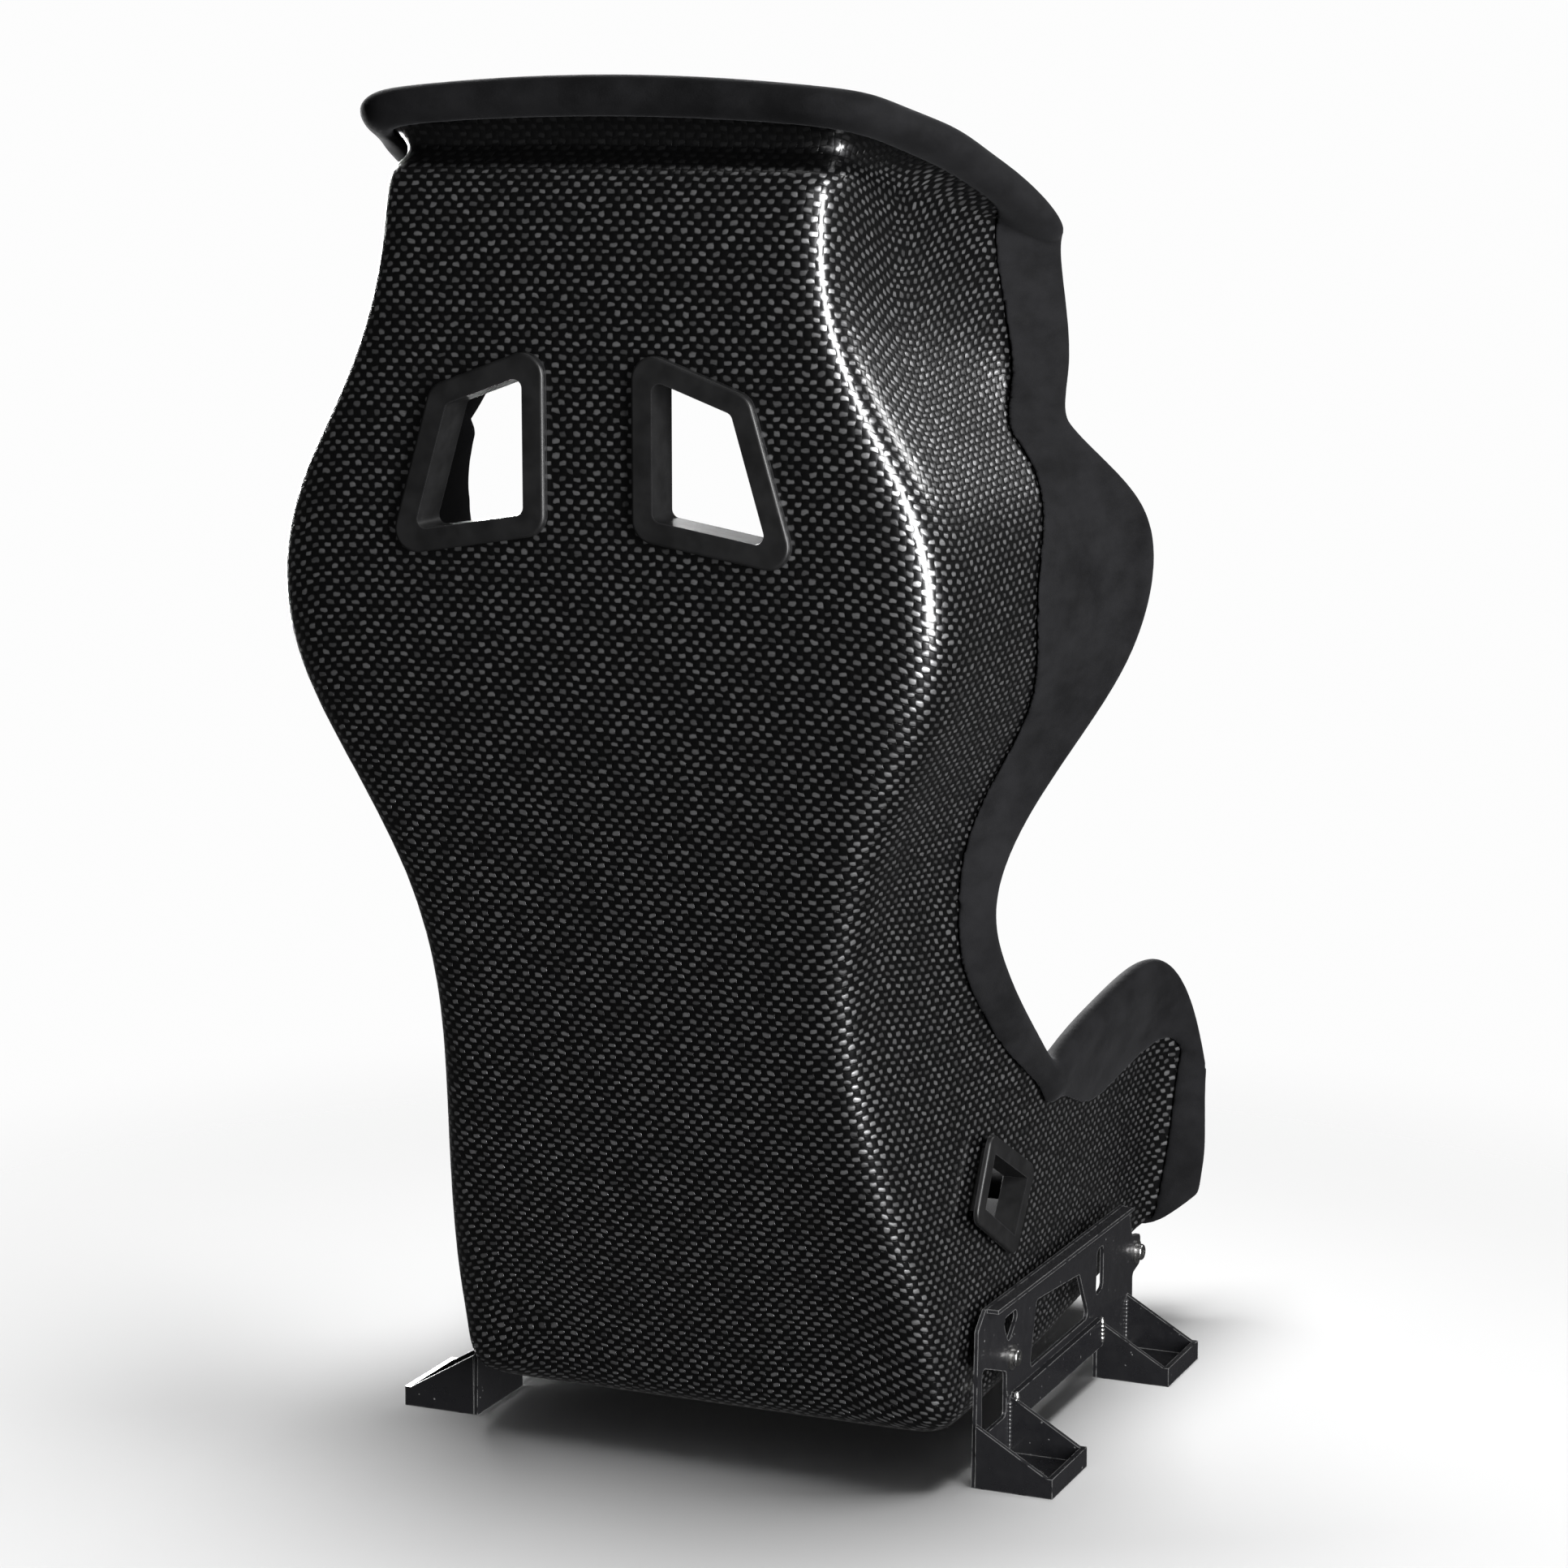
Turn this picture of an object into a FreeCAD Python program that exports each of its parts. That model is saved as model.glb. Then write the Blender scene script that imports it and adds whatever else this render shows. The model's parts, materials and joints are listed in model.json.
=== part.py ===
import math
import os

import FreeCAD
import Part
import Sketcher

# Racing bucket seat on two welded side brackets.
# Frame: +Z up, the seated person faces -Y, their left is +X, and the floor is z = 0.
# The seat is symmetric about the plane x = 0.

os.makedirs("parts", exist_ok=True)
doc = FreeCAD.newDocument("racing_seat")
Vec = FreeCAD.Vector

# ---------------------------------------------------------------- driving dimensions (mm)

DIMENSIONS = {
    "shell_wall": 5.0,
    "soft_gap": 0.8,
    "trim_cover": 7.0,
    "trim_nose": 9.0,
    "trim_inside": 11.0,
    "slot_corner": 16.0,
    "slot_inner": 32.0,
    "slot_top_half": 117.0,
    "slot_bottom_half": 152.0,
    "slot_inner_top": 829.0,
    "slot_outer_top": 798.0,
    "slot_outer_bottom": 681.0,
    "slot_inner_bottom": 701.0,
    "bezel_flange": 15.5,
    "bezel_proud": 6.0,
    "bezel_throat": 26.0,
    "bezel_wall": 3.0,
    "bezel_round": 2.5,
    "bezel_seat": 0.3,
    "inner_bezel_back": 22.5,
    "opening_corner": 6.0,
    "lap_proud": 4.0,
    "lap_throat": 15.0,
    "lap_corner": 10.0,
    "lap_round": 2.0,
    "lap_flange": 13.0,
    "lap_opening_gap": 9.5,
    "strap_flange": 9.0,
    "strap_throat": 3.5,
    "strap_opening": 6.5,
    "strap_seat": 0.6,
    "strap_slot_wide": 84.0,
    "strap_slot_deep": 30.0,
    "strap_slot_y": -110.0,
    "bracket_face": 200.0,
    "plate_thick": 3.0,
    "plate_rear": 121.0,
    "plate_front": -237.0,
    "plate_top": 128.0,
    "plate_flange": 9.0,
    "plate_corner": 5.0,
    "bar_low": 27.0,
    "bar_high": 49.0,
    "bar_thick": 5.0,
    "foot_reach": 59.0,
    "foot_length": 76.0,
    "foot_rear_y": 83.0,
    "foot_pitch": 270.0,
    "foot_floor": 4.0,
    "gusset_thick": 4.0,
    "gusset_high": 47.0,
    "gusset_low": 15.0,
    "foot_hole": 9.0,
    "foot_hole_out": 34.0,
    "bolt_rear_y": 46.0,
    "bolt_pitch": 290.0,
    "bolt_height": 76.0,
    "bolt_shank": 8.0,
    "bolt_head": 13.0,
    "bolt_head_high": 5.0,
    "bolt_socket": 5.0,
    "washer_size": 19.0,
    "washer_thick": 1.6,
    "insert_size": 22.0,
    "insert_thick": 3.0,
}

sheet = doc.addObject("Spreadsheet::Sheet", "dimensions")
for row, (alias, number) in enumerate(DIMENSIONS.items(), start=1):
    sheet.set("A%d" % row, alias)
    sheet.set("B%d" % row, str(number))
    sheet.setAlias("B%d" % row, alias)
doc.recompute()


def dim(alias):
    """Read one driving dimension back from the sheet."""
    return float(sheet.get(alias))


def cell(alias):
    """Expression text for one driving dimension."""
    return "<<dimensions>>.%s" % alias


sheet.Label = "dimensions"

# ---------------------------------------------------------------- shell form
# The shell is one smooth skin. Each station is a U-shaped section: its middle lies on the
# spine, its two edges lie on the rim, and the columns across it are worked out below.
# name, spine (y, z), rim (y, z), half width of the flat panel, corner radius,
# half width of the side wall, half width at the rim, depth of the outward flare, crown drop

STATIONS = [
    ("lip", (-311.7, 105), (-312.7, 212), 228, 16, 233, 233, 50, 0),
    ("front", (-298, 80), (-297, 273), 190, 30, 206, 229, 60, 0),
    ("thigh", (-258, 62), (-254, 324), 186, 30, 197, 222, 70, 0),
    ("seat", (-180, 54), (-172, 310), 186, 30, 197, 216, 60, 0),
    ("pan", (-90, 47), (-104, 297), 187, 30, 197, 209, 60, 0),
    ("hip_low", (10, 41), (-62, 284), 188, 32, 197, 206, 60, 0),
    ("heel", (105, 38), (-42, 275), 190, 40, 196, 205, 60, 0),
    ("tail", (154, 42), (-22, 282), 193, 40, 195, 204, 60, 0),
    ("sacrum_low", (162, 80), (2, 300), 193, 42, 193, 206, 60, 0),
    ("sacrum", (178, 120), (28, 322), 192, 45, 190, 206, 60, 0),
    ("lumbar", (208, 190), (62, 352), 181, 45, 184, 206, 60, 0),
    ("waist_low", (236, 270), (95, 388), 168, 45, 178, 206, 60, 0),
    ("waist", (257, 350), (123, 430), 160, 45, 176, 208, 60, 0),
    ("rib", (280, 435), (100, 482), 166, 45, 186, 218, 60, 0),
    ("torso", (301, 515), (40, 545), 200, 55, 214, 248, 60, 0),
    ("shoulder_low", (315, 590), (10, 600), 240, 60, 250, 278, 60, 0),
    ("shoulder", (321, 660), (6, 665), 254, 60, 261, 292, 60, 0),
    ("shoulder_top", (321, 730), (34, 718), 236, 55, 248, 288, 60, 0),
    ("neck", (321, 785), (72, 765), 200, 45, 212, 228, 60, 0),
    ("head_low", (321, 845), (18, 806), 172, 38, 184, 233, 80, 0),
    ("head", (314, 900), (36, 858), 163, 36, 178, 224, 90, 0),
    ("crease", (305, 944), (36, 886), 165, 34, 178, 224, 90, 0),
    ("ledge", (285, 950), (38, 892), 161, 34, 178, 225, 90, 2),
    ("recess", (275, 964), (46, 898), 163, 40, 182, 227, 90, 4),
    ("flare", (284, 981), (62, 907), 174, 50, 196, 230, 90, 8),
    ("rim", (297, 995), (94, 920), 190, 60, 214, 231, 80, 14),
]
STATION_NAMES = [station[0] for station in STATIONS]
COLUMNS = 8  # columns on each side of the middle one
TOP_BOW = 0.8  # how far the top edge arches up between its corners, as a part of the crown drop


def section_poles(station):
    """Control points across one station, from the -X rim to the +X rim."""
    name, spine, rim, half, corner, side, edge, flare, crown = station
    run_y = rim[0] - spine[0]
    run_z = rim[1] - spine[1]
    depth = math.hypot(run_y, run_z)
    dir_y = run_y / depth
    dir_z = run_z / depth
    across = [
        (0.0, 0.0),
        (0.5 * (half - corner), 0.0),
        (half - corner, 0.0),
        (half, 0.0),
        (half + 0.3 * (side - half), corner),
        (side, corner + 0.5 * (depth - flare - corner)),
        (side + 0.2 * (edge - side), depth - flare),
        (side + 0.55 * (edge - side), depth - 0.4 * flare),
        (edge, depth),
    ]
    poles = []
    for column in range(-COLUMNS, COLUMNS + 1):
        x, d = across[abs(column)]
        bow = TOP_BOW * math.sin(math.pi * min(d / depth, 1.0))
        drop = crown * (min(x / half, 1.0) ** 2 - bow)
        sign = -1 if column < 0 else 1
        poles.append(Vec(sign * x, spine[0] + dir_y * d, spine[1] + dir_z * d - drop))
    return poles


def clamped_knots(count, degree=3):
    """Evenly spaced clamped knots and their multiplicities for a number of control points."""
    spans = count - degree
    knots = [i / spans for i in range(spans + 1)]
    mults = [degree + 1] + [1] * (spans - 1) + [degree + 1]
    return knots, mults


def pole_surface(net):
    """Smooth cubic surface that is led by a net of control points."""
    knots_u, mults_u = clamped_knots(len(net))
    knots_v, mults_v = clamped_knots(len(net[0]))
    surface = Part.BSplineSurface()
    surface.buildFromPolesMultsKnots(net, mults_u, mults_v, knots_u, knots_v, False, False, 3, 3)
    return surface


def station_u(name, shift=0.0):
    """Surface parameter of a named station."""
    place = STATION_NAMES.index(name) - 1 + shift
    return min(max(place / (len(STATIONS) - 3), 0.0), 1.0)


def column_v(column):
    """Surface parameter of a column, negative towards -X."""
    return min(max((column + COLUMNS - 1) / (2.0 * COLUMNS - 2), 0.0), 1.0)


def offset_net(net, surface, distance):
    """Control net moved along the surface's outward normal."""
    moved = []
    rows = len(net)
    cols = len(net[0])
    for i in range(rows):
        line = []
        for j in range(cols):
            u = min(max((i - 1) / (rows - 3), 0.0), 1.0)
            v = min(max((j - 1) / (cols - 3), 0.0), 1.0)
            line.append(net[i][j] + outward(surface, u, v) * distance)
        moved.append(line)
    return moved


def outward(surface, u, v):
    """Unit normal that points out of the seat."""
    u = min(max(u, 0.001), 0.999)
    v = min(max(v, 0.001), 0.999)
    return surface.normal(u, v) * NORMAL_SIGN


outer_net = [section_poles(station) for station in STATIONS]
outer_skin = pole_surface(outer_net)
NORMAL_SIGN = 1.0 if outer_skin.normal(station_u("torso"), 0.5).y > 0 else -1.0
inner_skin = pole_surface(offset_net(outer_net, outer_skin, -dim("shell_wall")))


def solid_between(skin_a, skin_b):
    """Closed solid between two surfaces that share their parameter layout."""
    face_a = skin_a.toShape()
    face_b = skin_b.toShape()
    faces = [face_a, face_b]
    borders_a = [skin_a.uIso(0.0), skin_a.uIso(1.0), skin_a.vIso(0.0), skin_a.vIso(1.0)]
    borders_b = [skin_b.uIso(0.0), skin_b.uIso(1.0), skin_b.vIso(0.0), skin_b.vIso(1.0)]
    for border_a, border_b in zip(borders_a, borders_b):
        faces.append(Part.makeRuledSurface(border_a.toShape(), border_b.toShape(), 1))
    hull = Part.makeShell(faces)
    hull.sewShape()
    solid = Part.makeSolid(hull)
    if solid.Volume < 0:
        solid = Part.makeSolid(hull.reversed())
    return solid


def spread(count):
    """Fractions along a skin at which its control points have most effect."""
    last = count - 3
    places = [0.0, 1 / 3] + [float(i) for i in range(1, last)] + [last - 1 / 3, float(last)]
    return [place / last for place in places]


def sharpen(line):
    """Control points that bring a smooth skin back to the points it would cut inside of."""
    led = [line[0]]
    for before, here, after in zip(line, line[1:], line[2:]):
        led.append((here * 8 - before - after) * (1 / 6))
    led.append(line[-1])
    return led


def skin_over(grid, both_ways=True):
    """Smooth surface over a grid of points taken at spread() fractions."""
    columns = [sharpen(list(column)) for column in zip(*grid)]
    rows = [list(row) for row in zip(*columns)]
    if both_ways:
        rows = [sharpen(row) for row in rows]
    return pole_surface(rows)


def feature(name, shape):
    """Document object that holds one finished shape."""
    holder = doc.addObject("Part::Feature", name)
    holder.Label = name
    holder.Shape = shape
    return holder


NODES = []


def keep(holder):
    """Mark a document object as one separate piece of the seat."""
    NODES.append(holder)
    return holder


# ---------------------------------------------------------------- outlines and prisms

def offset_outline(points, distance):
    """Convex outline with every side moved inwards by a distance."""
    count = len(points)
    area = sum(points[i][0] * points[(i + 1) % count][1] - points[(i + 1) % count][0] * points[i][1]
               for i in range(count))
    turn = 1.0 if area > 0 else -1.0
    sides = []
    for i in range(count):
        ax, ay = points[i]
        bx, by = points[(i + 1) % count]
        length = math.hypot(bx - ax, by - ay)
        nx = -(by - ay) / length * turn
        ny = (bx - ax) / length * turn
        sides.append((ax + nx * distance, ay + ny * distance, bx - ax, by - ay))
    moved = []
    for i in range(count):
        px, py, dx, dy = sides[i - 1]
        qx, qy, ex, ey = sides[i]
        cross = dx * ey - dy * ex
        step = ((qx - px) * ey - (qy - py) * ex) / cross
        moved.append((px + dx * step, py + dy * step))
    return moved


def rounded_prism(points, radius, start, along_x, along_y, sweep):
    """Solid with a rounded outline: points are measured from start along two directions."""
    corners = [start + along_x * px + along_y * py for px, py in points]
    block = Part.Face(Part.makePolygon(corners + corners[:1])).extrude(sweep)
    unit = Vec(sweep).normalize()
    edges = [edge for edge in block.Edges if abs(edge.tangentAt(edge.FirstParameter).dot(unit)) > 0.99]
    return block.makeFillet(radius, edges)


# ---------------------------------------------------------------- belt slots: where they lie

# The back behind the shoulders is flat and upright over the height of the slots.
slot_mid_z = 0.5 * (dim("slot_inner_top") + dim("slot_outer_bottom"))
slot_origin = Vec(0, STATIONS[STATION_NAMES.index("neck")][1][0], slot_mid_z)
slot_up = Vec(0, 0, 1)
slot_rearward = Vec(0, 1, 0)


def belt_outline(side):
    """Outer outline of a shoulder belt bezel, in the plane of the back."""
    return [
        (side * dim("slot_inner"), dim("slot_inner_top") - slot_mid_z),
        (side * dim("slot_top_half"), dim("slot_outer_top") - slot_mid_z),
        (side * dim("slot_bottom_half"), dim("slot_outer_bottom") - slot_mid_z),
        (side * dim("slot_inner"), dim("slot_inner_bottom") - slot_mid_z),
    ]


# Lap belt slot in the side wall beside the hip: a leaning parallelogram, as (y, z).
LAP_CORNERS = [(86.0, 256.0), (-8.0, 207.0), (34.0, 149.0), (118.0, 198.0)]


def lap_outline(inset):
    """Lap belt outline in y and z, moved inwards."""
    return offset_outline(LAP_CORNERS, inset)


strap_y = dim("strap_slot_y")
strap_half_wide = 0.5 * dim("strap_slot_wide")
strap_half_deep = 0.5 * dim("strap_slot_deep")
STRAP_OUTLINE = [
    (-strap_half_wide, -strap_half_deep),
    (strap_half_wide, -strap_half_deep),
    (strap_half_wide, strap_half_deep),
    (-strap_half_wide, strap_half_deep),
]

# ---------------------------------------------------------------- carbon shell


def build_shell():
    """One-piece laminate shell with its belt slots and fixing holes."""
    shell = solid_between(outer_skin, inner_skin)
    cutters = []
    flange = dim("bezel_flange")
    for side in (-1, 1):
        outline = offset_outline(belt_outline(side), flange - dim("bezel_wall") - 0.5)
        start = slot_origin - slot_rearward * 60
        cutters.append(rounded_prism(outline, 8, start, Vec(1, 0, 0), slot_up, slot_rearward * 120))
        start = Vec(side * 170, 0, 0)
        outline = lap_outline(dim("lap_opening_gap"))
        cutters.append(rounded_prism(outline, 6, start, Vec(0, 1, 0), Vec(0, 0, 1), Vec(side * 60, 0, 0)))
        for bolt in range(2):
            y = dim("bolt_rear_y") - bolt * dim("bolt_pitch")
            start = Vec(side * 160, y, dim("bolt_height"))
            cutters.append(Part.makeCylinder(0.5 * dim("bolt_shank") + 0.2, 60, start, Vec(side, 0, 0)))
    cutters.append(rounded_prism(STRAP_OUTLINE, 12, Vec(0, strap_y, 20), Vec(1, 0, 0), Vec(0, 1, 0),
                                 Vec(0, 0, 80)))
    for cutter in cutters:
        shell = shell.cut(cutter)
    return shell


keep(feature("seat_shell", build_shell()))

# ---------------------------------------------------------------- soft rim trim
# The trim wraps the shell's edge. A place on the edge is a turn number round the border of
# the skin, and the trim reaches inwards from there along lines that fan out at the corners.

TRIM_REACH = [
    # station, how many columns of the side wall the outside of the trim covers
    ("front", 0.5),
    ("thigh", 1.15),
    ("seat", 1.2),
    ("hip_low", 0.55),
    ("tail", 0.3),
    ("lumbar", 0.45),
    ("waist", 0.5),
    ("torso", 1.3),
    ("shoulder", 2.0),
    ("neck", 1.1),
    ("head_low", 0.6),
    ("rim", 0.6),
]
TOP_REACH = 0.5
FRONT_REACH = 0.35
INSIDE_REACH = 0.9


def side_reach(u):
    """Reach of the trim, in columns, at one height along the side."""
    places = [(station_u(name), reach) for name, reach in TRIM_REACH]
    for (u_a, reach_a), (u_b, reach_b) in zip(places, places[1:]):
        if u <= u_b:
            part = min(max((u - u_a) / (u_b - u_a), 0.0), 1.0)
            part = part * part * (3 - 2 * part)
            return reach_a + (reach_b - reach_a) * part
    return places[-1][1]


def border(turn):
    """Border of the skin: 0 to 1 up the +X side, 1 to 2 across the top, 2 to 3 down the -X side,
    3 to 4 along the front."""
    turn = turn % 4.0
    if turn <= 1:
        return turn, 1.0
    if turn <= 2:
        return 1.0, 2.0 - turn
    if turn <= 3:
        return 3.0 - turn, 0.0
    return 0.0, turn - 3.0


def inset(turn, reach_part, inside):
    """Skin parameters at a fraction of the trim's reach inwards from the border."""
    u, v = border(turn)
    reach_side = INSIDE_REACH if inside else side_reach(u)
    reach_end = TOP_REACH if u > 0.5 else FRONT_REACH
    delta_v = reach_side / (2.0 * COLUMNS - 2) * reach_part
    delta_u = reach_end / (len(STATIONS) - 3) * reach_part
    return 0.5 + (u - 0.5) * (1 - 2 * delta_u), 0.5 + (v - 0.5) * (1 - 2 * delta_v)


def trim_section(turn):
    """Points of the trim against the shell and points of its outside, at one place on the rim."""
    gap = dim("soft_gap")
    near = []
    far = []
    for part, swell in ((1.0, 0.30), (0.85, 0.75), (0.6, 1.0), (0.3, 1.05), (0.05, 1.0)):
        u, v = inset(turn, part, False)
        point = outer_skin.value(u, v)
        normal = outward(outer_skin, u, v)
        near.append(point + normal * gap)
        far.append(point + normal * (gap + dim("trim_cover") * swell))
    u, v = border(turn)
    normal = outward(outer_skin, u, v)
    middle = (outer_skin.value(u, v) + inner_skin.value(u, v)) * 0.5
    before = outer_skin.value(*border(turn - 0.02))
    after = outer_skin.value(*border(turn + 0.02))
    beyond = (after - before).cross(normal).normalize()
    inward_point = outer_skin.value(*inset(turn, 0.5, False))
    if beyond.dot(middle - inward_point) < 0:
        beyond = beyond * -1
    near.append(middle + beyond * (gap * 3))
    far.append(middle + beyond * dim("trim_nose"))
    for part, swell in ((0.05, 0.9), (0.3, 1.15), (0.6, 1.1), (0.85, 0.8), (1.0, 0.45)):
        u, v = inset(turn, part, True)
        point = inner_skin.value(u, v)
        normal = outward(inner_skin, u, v)
        near.append(point - normal * gap)
        far.append(point - normal * (gap + dim("trim_inside") * swell))
    return near, far


def build_trim(turn_a, turn_b, count):
    """Padded trim between two places on the rim."""
    near_grid = []
    far_grid = []
    for part in spread(count):
        near, far = trim_section(turn_a + (turn_b - turn_a) * part)
        near_grid.append(near)
        far_grid.append(far)
    return solid_between(skin_over(near_grid, False), skin_over(far_grid, False))


neck_turn = station_u("neck")
joint = 0.0006
keep(feature("head_rim_trim", build_trim(neck_turn + joint, 3 - neck_turn - joint, 41)))
keep(feature("left_rim_trim", build_trim(joint, neck_turn - joint, 31)))
keep(feature("right_rim_trim", build_trim(3 - neck_turn + joint, 3 - joint, 31)))
keep(feature("front_rim_trim", build_trim(3 + joint, 4 - joint, 25)))

# ---------------------------------------------------------------- cushions


def build_cushion(first, last, low, high, edge_thick, full_thick, rows=11, cols=9):
    """Pad that lies on the inside of the shell between two stations and two columns."""
    u_a, u_b = station_u(*first), station_u(*last)
    v_a, v_b = column_v(low), column_v(high)
    near_grid = []
    far_grid = []
    for a in spread(rows):
        near_line = []
        far_line = []
        for b in spread(cols):
            u = u_a + (u_b - u_a) * a
            v = v_a + (v_b - v_a) * b
            swell = (1 - (2 * a - 1) ** 4) * (1 - (2 * b - 1) ** 4)
            point = inner_skin.value(u, v)
            normal = outward(inner_skin, u, v)
            near_line.append(point - normal * dim("soft_gap"))
            far_line.append(point - normal * (edge_thick + (full_thick - edge_thick) * swell))
        near_grid.append(near_line)
        far_grid.append(far_line)
    return solid_between(skin_over(near_grid), skin_over(far_grid))


def build_shoulder_liner():
    """Pad behind the shoulders, with an opening round each shoulder belt slot."""
    liner = build_cushion(("shoulder", 0.1), ("head_low", 0.3), -2.7, 2.7, 9, 17, 13, 17)
    for side in (-1, 1):
        outline = offset_outline(belt_outline(side), -3.0)
        start = slot_origin - slot_rearward * 60
        liner = liner.cut(rounded_prism(outline, dim("slot_corner"), start, Vec(1, 0, 0), slot_up,
                                        slot_rearward * 120))
    return liner


def build_seat_cushion():
    """Seat pad with an opening for the crotch strap."""
    pad = build_cushion(("thigh", -0.6), ("hip_low", 0.55), -2.4, 2.4, 14, 34, 13, 13)
    outline = offset_outline(STRAP_OUTLINE, -14.0)
    return pad.cut(rounded_prism(outline, 20, Vec(0, strap_y, 20), Vec(1, 0, 0), Vec(0, 1, 0),
                                 Vec(0, 0, 160)))


def build_side_cushion(part_name, side, first, last, low, high, edge_thick, full_thick):
    """Pad on one side wall. The hip pad has an opening for the lap belt."""
    low_col, high_col = (low, high) if side > 0 else (-high, -low)
    pad = build_cushion(first, last, low_col, high_col, edge_thick, full_thick)
    if part_name == "hip_side_cushion":
        start = Vec(side * 120, 0, 0)
        pad = pad.cut(rounded_prism(lap_outline(4.0), 8, start, Vec(0, 1, 0), Vec(0, 0, 1),
                                    Vec(side * 100, 0, 0)))
    return pad


# name, first and last station, first and last column, thickness at the edge and in the middle
SIDE_CUSHIONS = [
    ("head_side_cushion", ("head_low", -0.1), ("recess", 0.6), 4.0, 6.9, 10, 32),
    ("shoulder_side_cushion", ("torso", -0.3), ("neck", 0.2), 3.9, 6.9, 10, 34),
    ("hip_side_cushion", ("heel", 0.2), ("rib", 0.1), 3.9, 6.9, 10, 26),
    ("thigh_side_cushion", ("lip", 0.9), ("heel", -0.2), 3.9, 6.9, 10, 26),
]

keep(feature("head_cushion", build_cushion(("head_low", 0.5), ("recess", 0.0), -2.3, 2.3, 10, 30)))
keep(feature("shoulder_liner", build_shoulder_liner()))
keep(feature("back_cushion", build_cushion(("rib", -0.3), ("shoulder", -0.1), -2.5, 2.5, 10, 26, 13, 13)))
lumbar_span = (("sacrum_low", 0.2), ("rib", -0.5))
keep(feature("lumbar_cushion", build_cushion(*lumbar_span, -2.3, 2.3, 12, 34, 13, 11)))
keep(feature("seat_cushion", build_seat_cushion()))

for side_name, side in (("left", 1), ("right", -1)):
    for part_name, *span in SIDE_CUSHIONS:
        keep(feature("%s_%s" % (side_name, part_name), build_side_cushion(part_name, side, *span)))

# ---------------------------------------------------------------- sketch helpers


def origin_plane(body, role):
    """One of a body's own origin planes, by its role."""
    return [item for item in body.Origin.OriginFeatures if item.Role == role][0]


def sketch_on(body, role, name, lift=0.0):
    """Empty sketch on a body's own origin plane, lifted along the plane's normal."""
    sketch = body.newObject("Sketcher::SketchObject", name)
    sketch.AttachmentSupport = [(origin_plane(body, role), "")]
    sketch.MapMode = "FlatFace"
    sketch.AttachmentOffset = FreeCAD.Placement(Vec(0, 0, lift), FreeCAD.Rotation())
    return sketch


def draw_polygon(sketch, points):
    """Closed outline of straight lines."""
    for i, (ax, ay) in enumerate(points):
        bx, by = points[(i + 1) % len(points)]
        sketch.addGeometry(Part.LineSegment(Vec(ax, ay, 0), Vec(bx, by, 0)), False)


def draw_circle(sketch, x, y, alias):
    """Circle whose diameter is bound to a driving dimension."""
    index = sketch.addGeometry(Part.Circle(Vec(x, y, 0), Vec(0, 0, 1), 0.5 * dim(alias)), False)
    place = sketch.addConstraint(Sketcher.Constraint("Diameter", index, dim(alias)))
    sketch.renameConstraint(place, "%s_%d" % (alias, index))
    sketch.setExpression("Constraints.%s_%d" % (alias, index), cell(alias))


def pad(body, sketch, name, alias, reverse=False):
    """Pad a sketch by a driving dimension."""
    block = body.newObject("PartDesign::Pad", name)
    block.Profile = sketch
    block.setExpression("Length", cell(alias))
    block.Reversed = reverse
    sketch.Visibility = False
    doc.recompute()
    return block


def pocket_through(body, sketch, name):
    """Pocket through the whole body, both ways, checked by its volume."""
    before = body.Shape.Volume
    cut = body.newObject("PartDesign::Pocket", name)
    cut.Profile = sketch
    cut.Type = 1
    cut.Midplane = True
    doc.recompute()
    if not body.Shape.Volume < before:
        raise RuntimeError("%s cuts nothing" % name)
    return cut


def round_edges(body, name, alias, chooser):
    """Fillet, by a driving dimension, the edges of a body's tip that the chooser accepts."""
    base = body.Tip
    names = ["Edge%d" % (i + 1) for i, edge in enumerate(base.Shape.Edges) if chooser(edge)]
    fillet = body.newObject("PartDesign::Fillet", name)
    fillet.Base = (base, names)
    fillet.Radius = dim(alias)
    fillet.setExpression("Radius", cell(alias))
    doc.recompute()
    return fillet


def runs_along(axis):
    """Chooser for straight edges that run along an axis."""
    def chosen(edge):
        if edge.Curve.TypeId != "Part::GeomLine":
            return False
        return abs(edge.tangentAt(edge.FirstParameter).dot(axis)) > 0.999
    return chosen


def new_body(name):
    """Empty body that becomes one node."""
    body = doc.addObject("PartDesign::Body", name)
    body.Label = name
    return body


# ---------------------------------------------------------------- shoulder belt bezels


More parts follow.
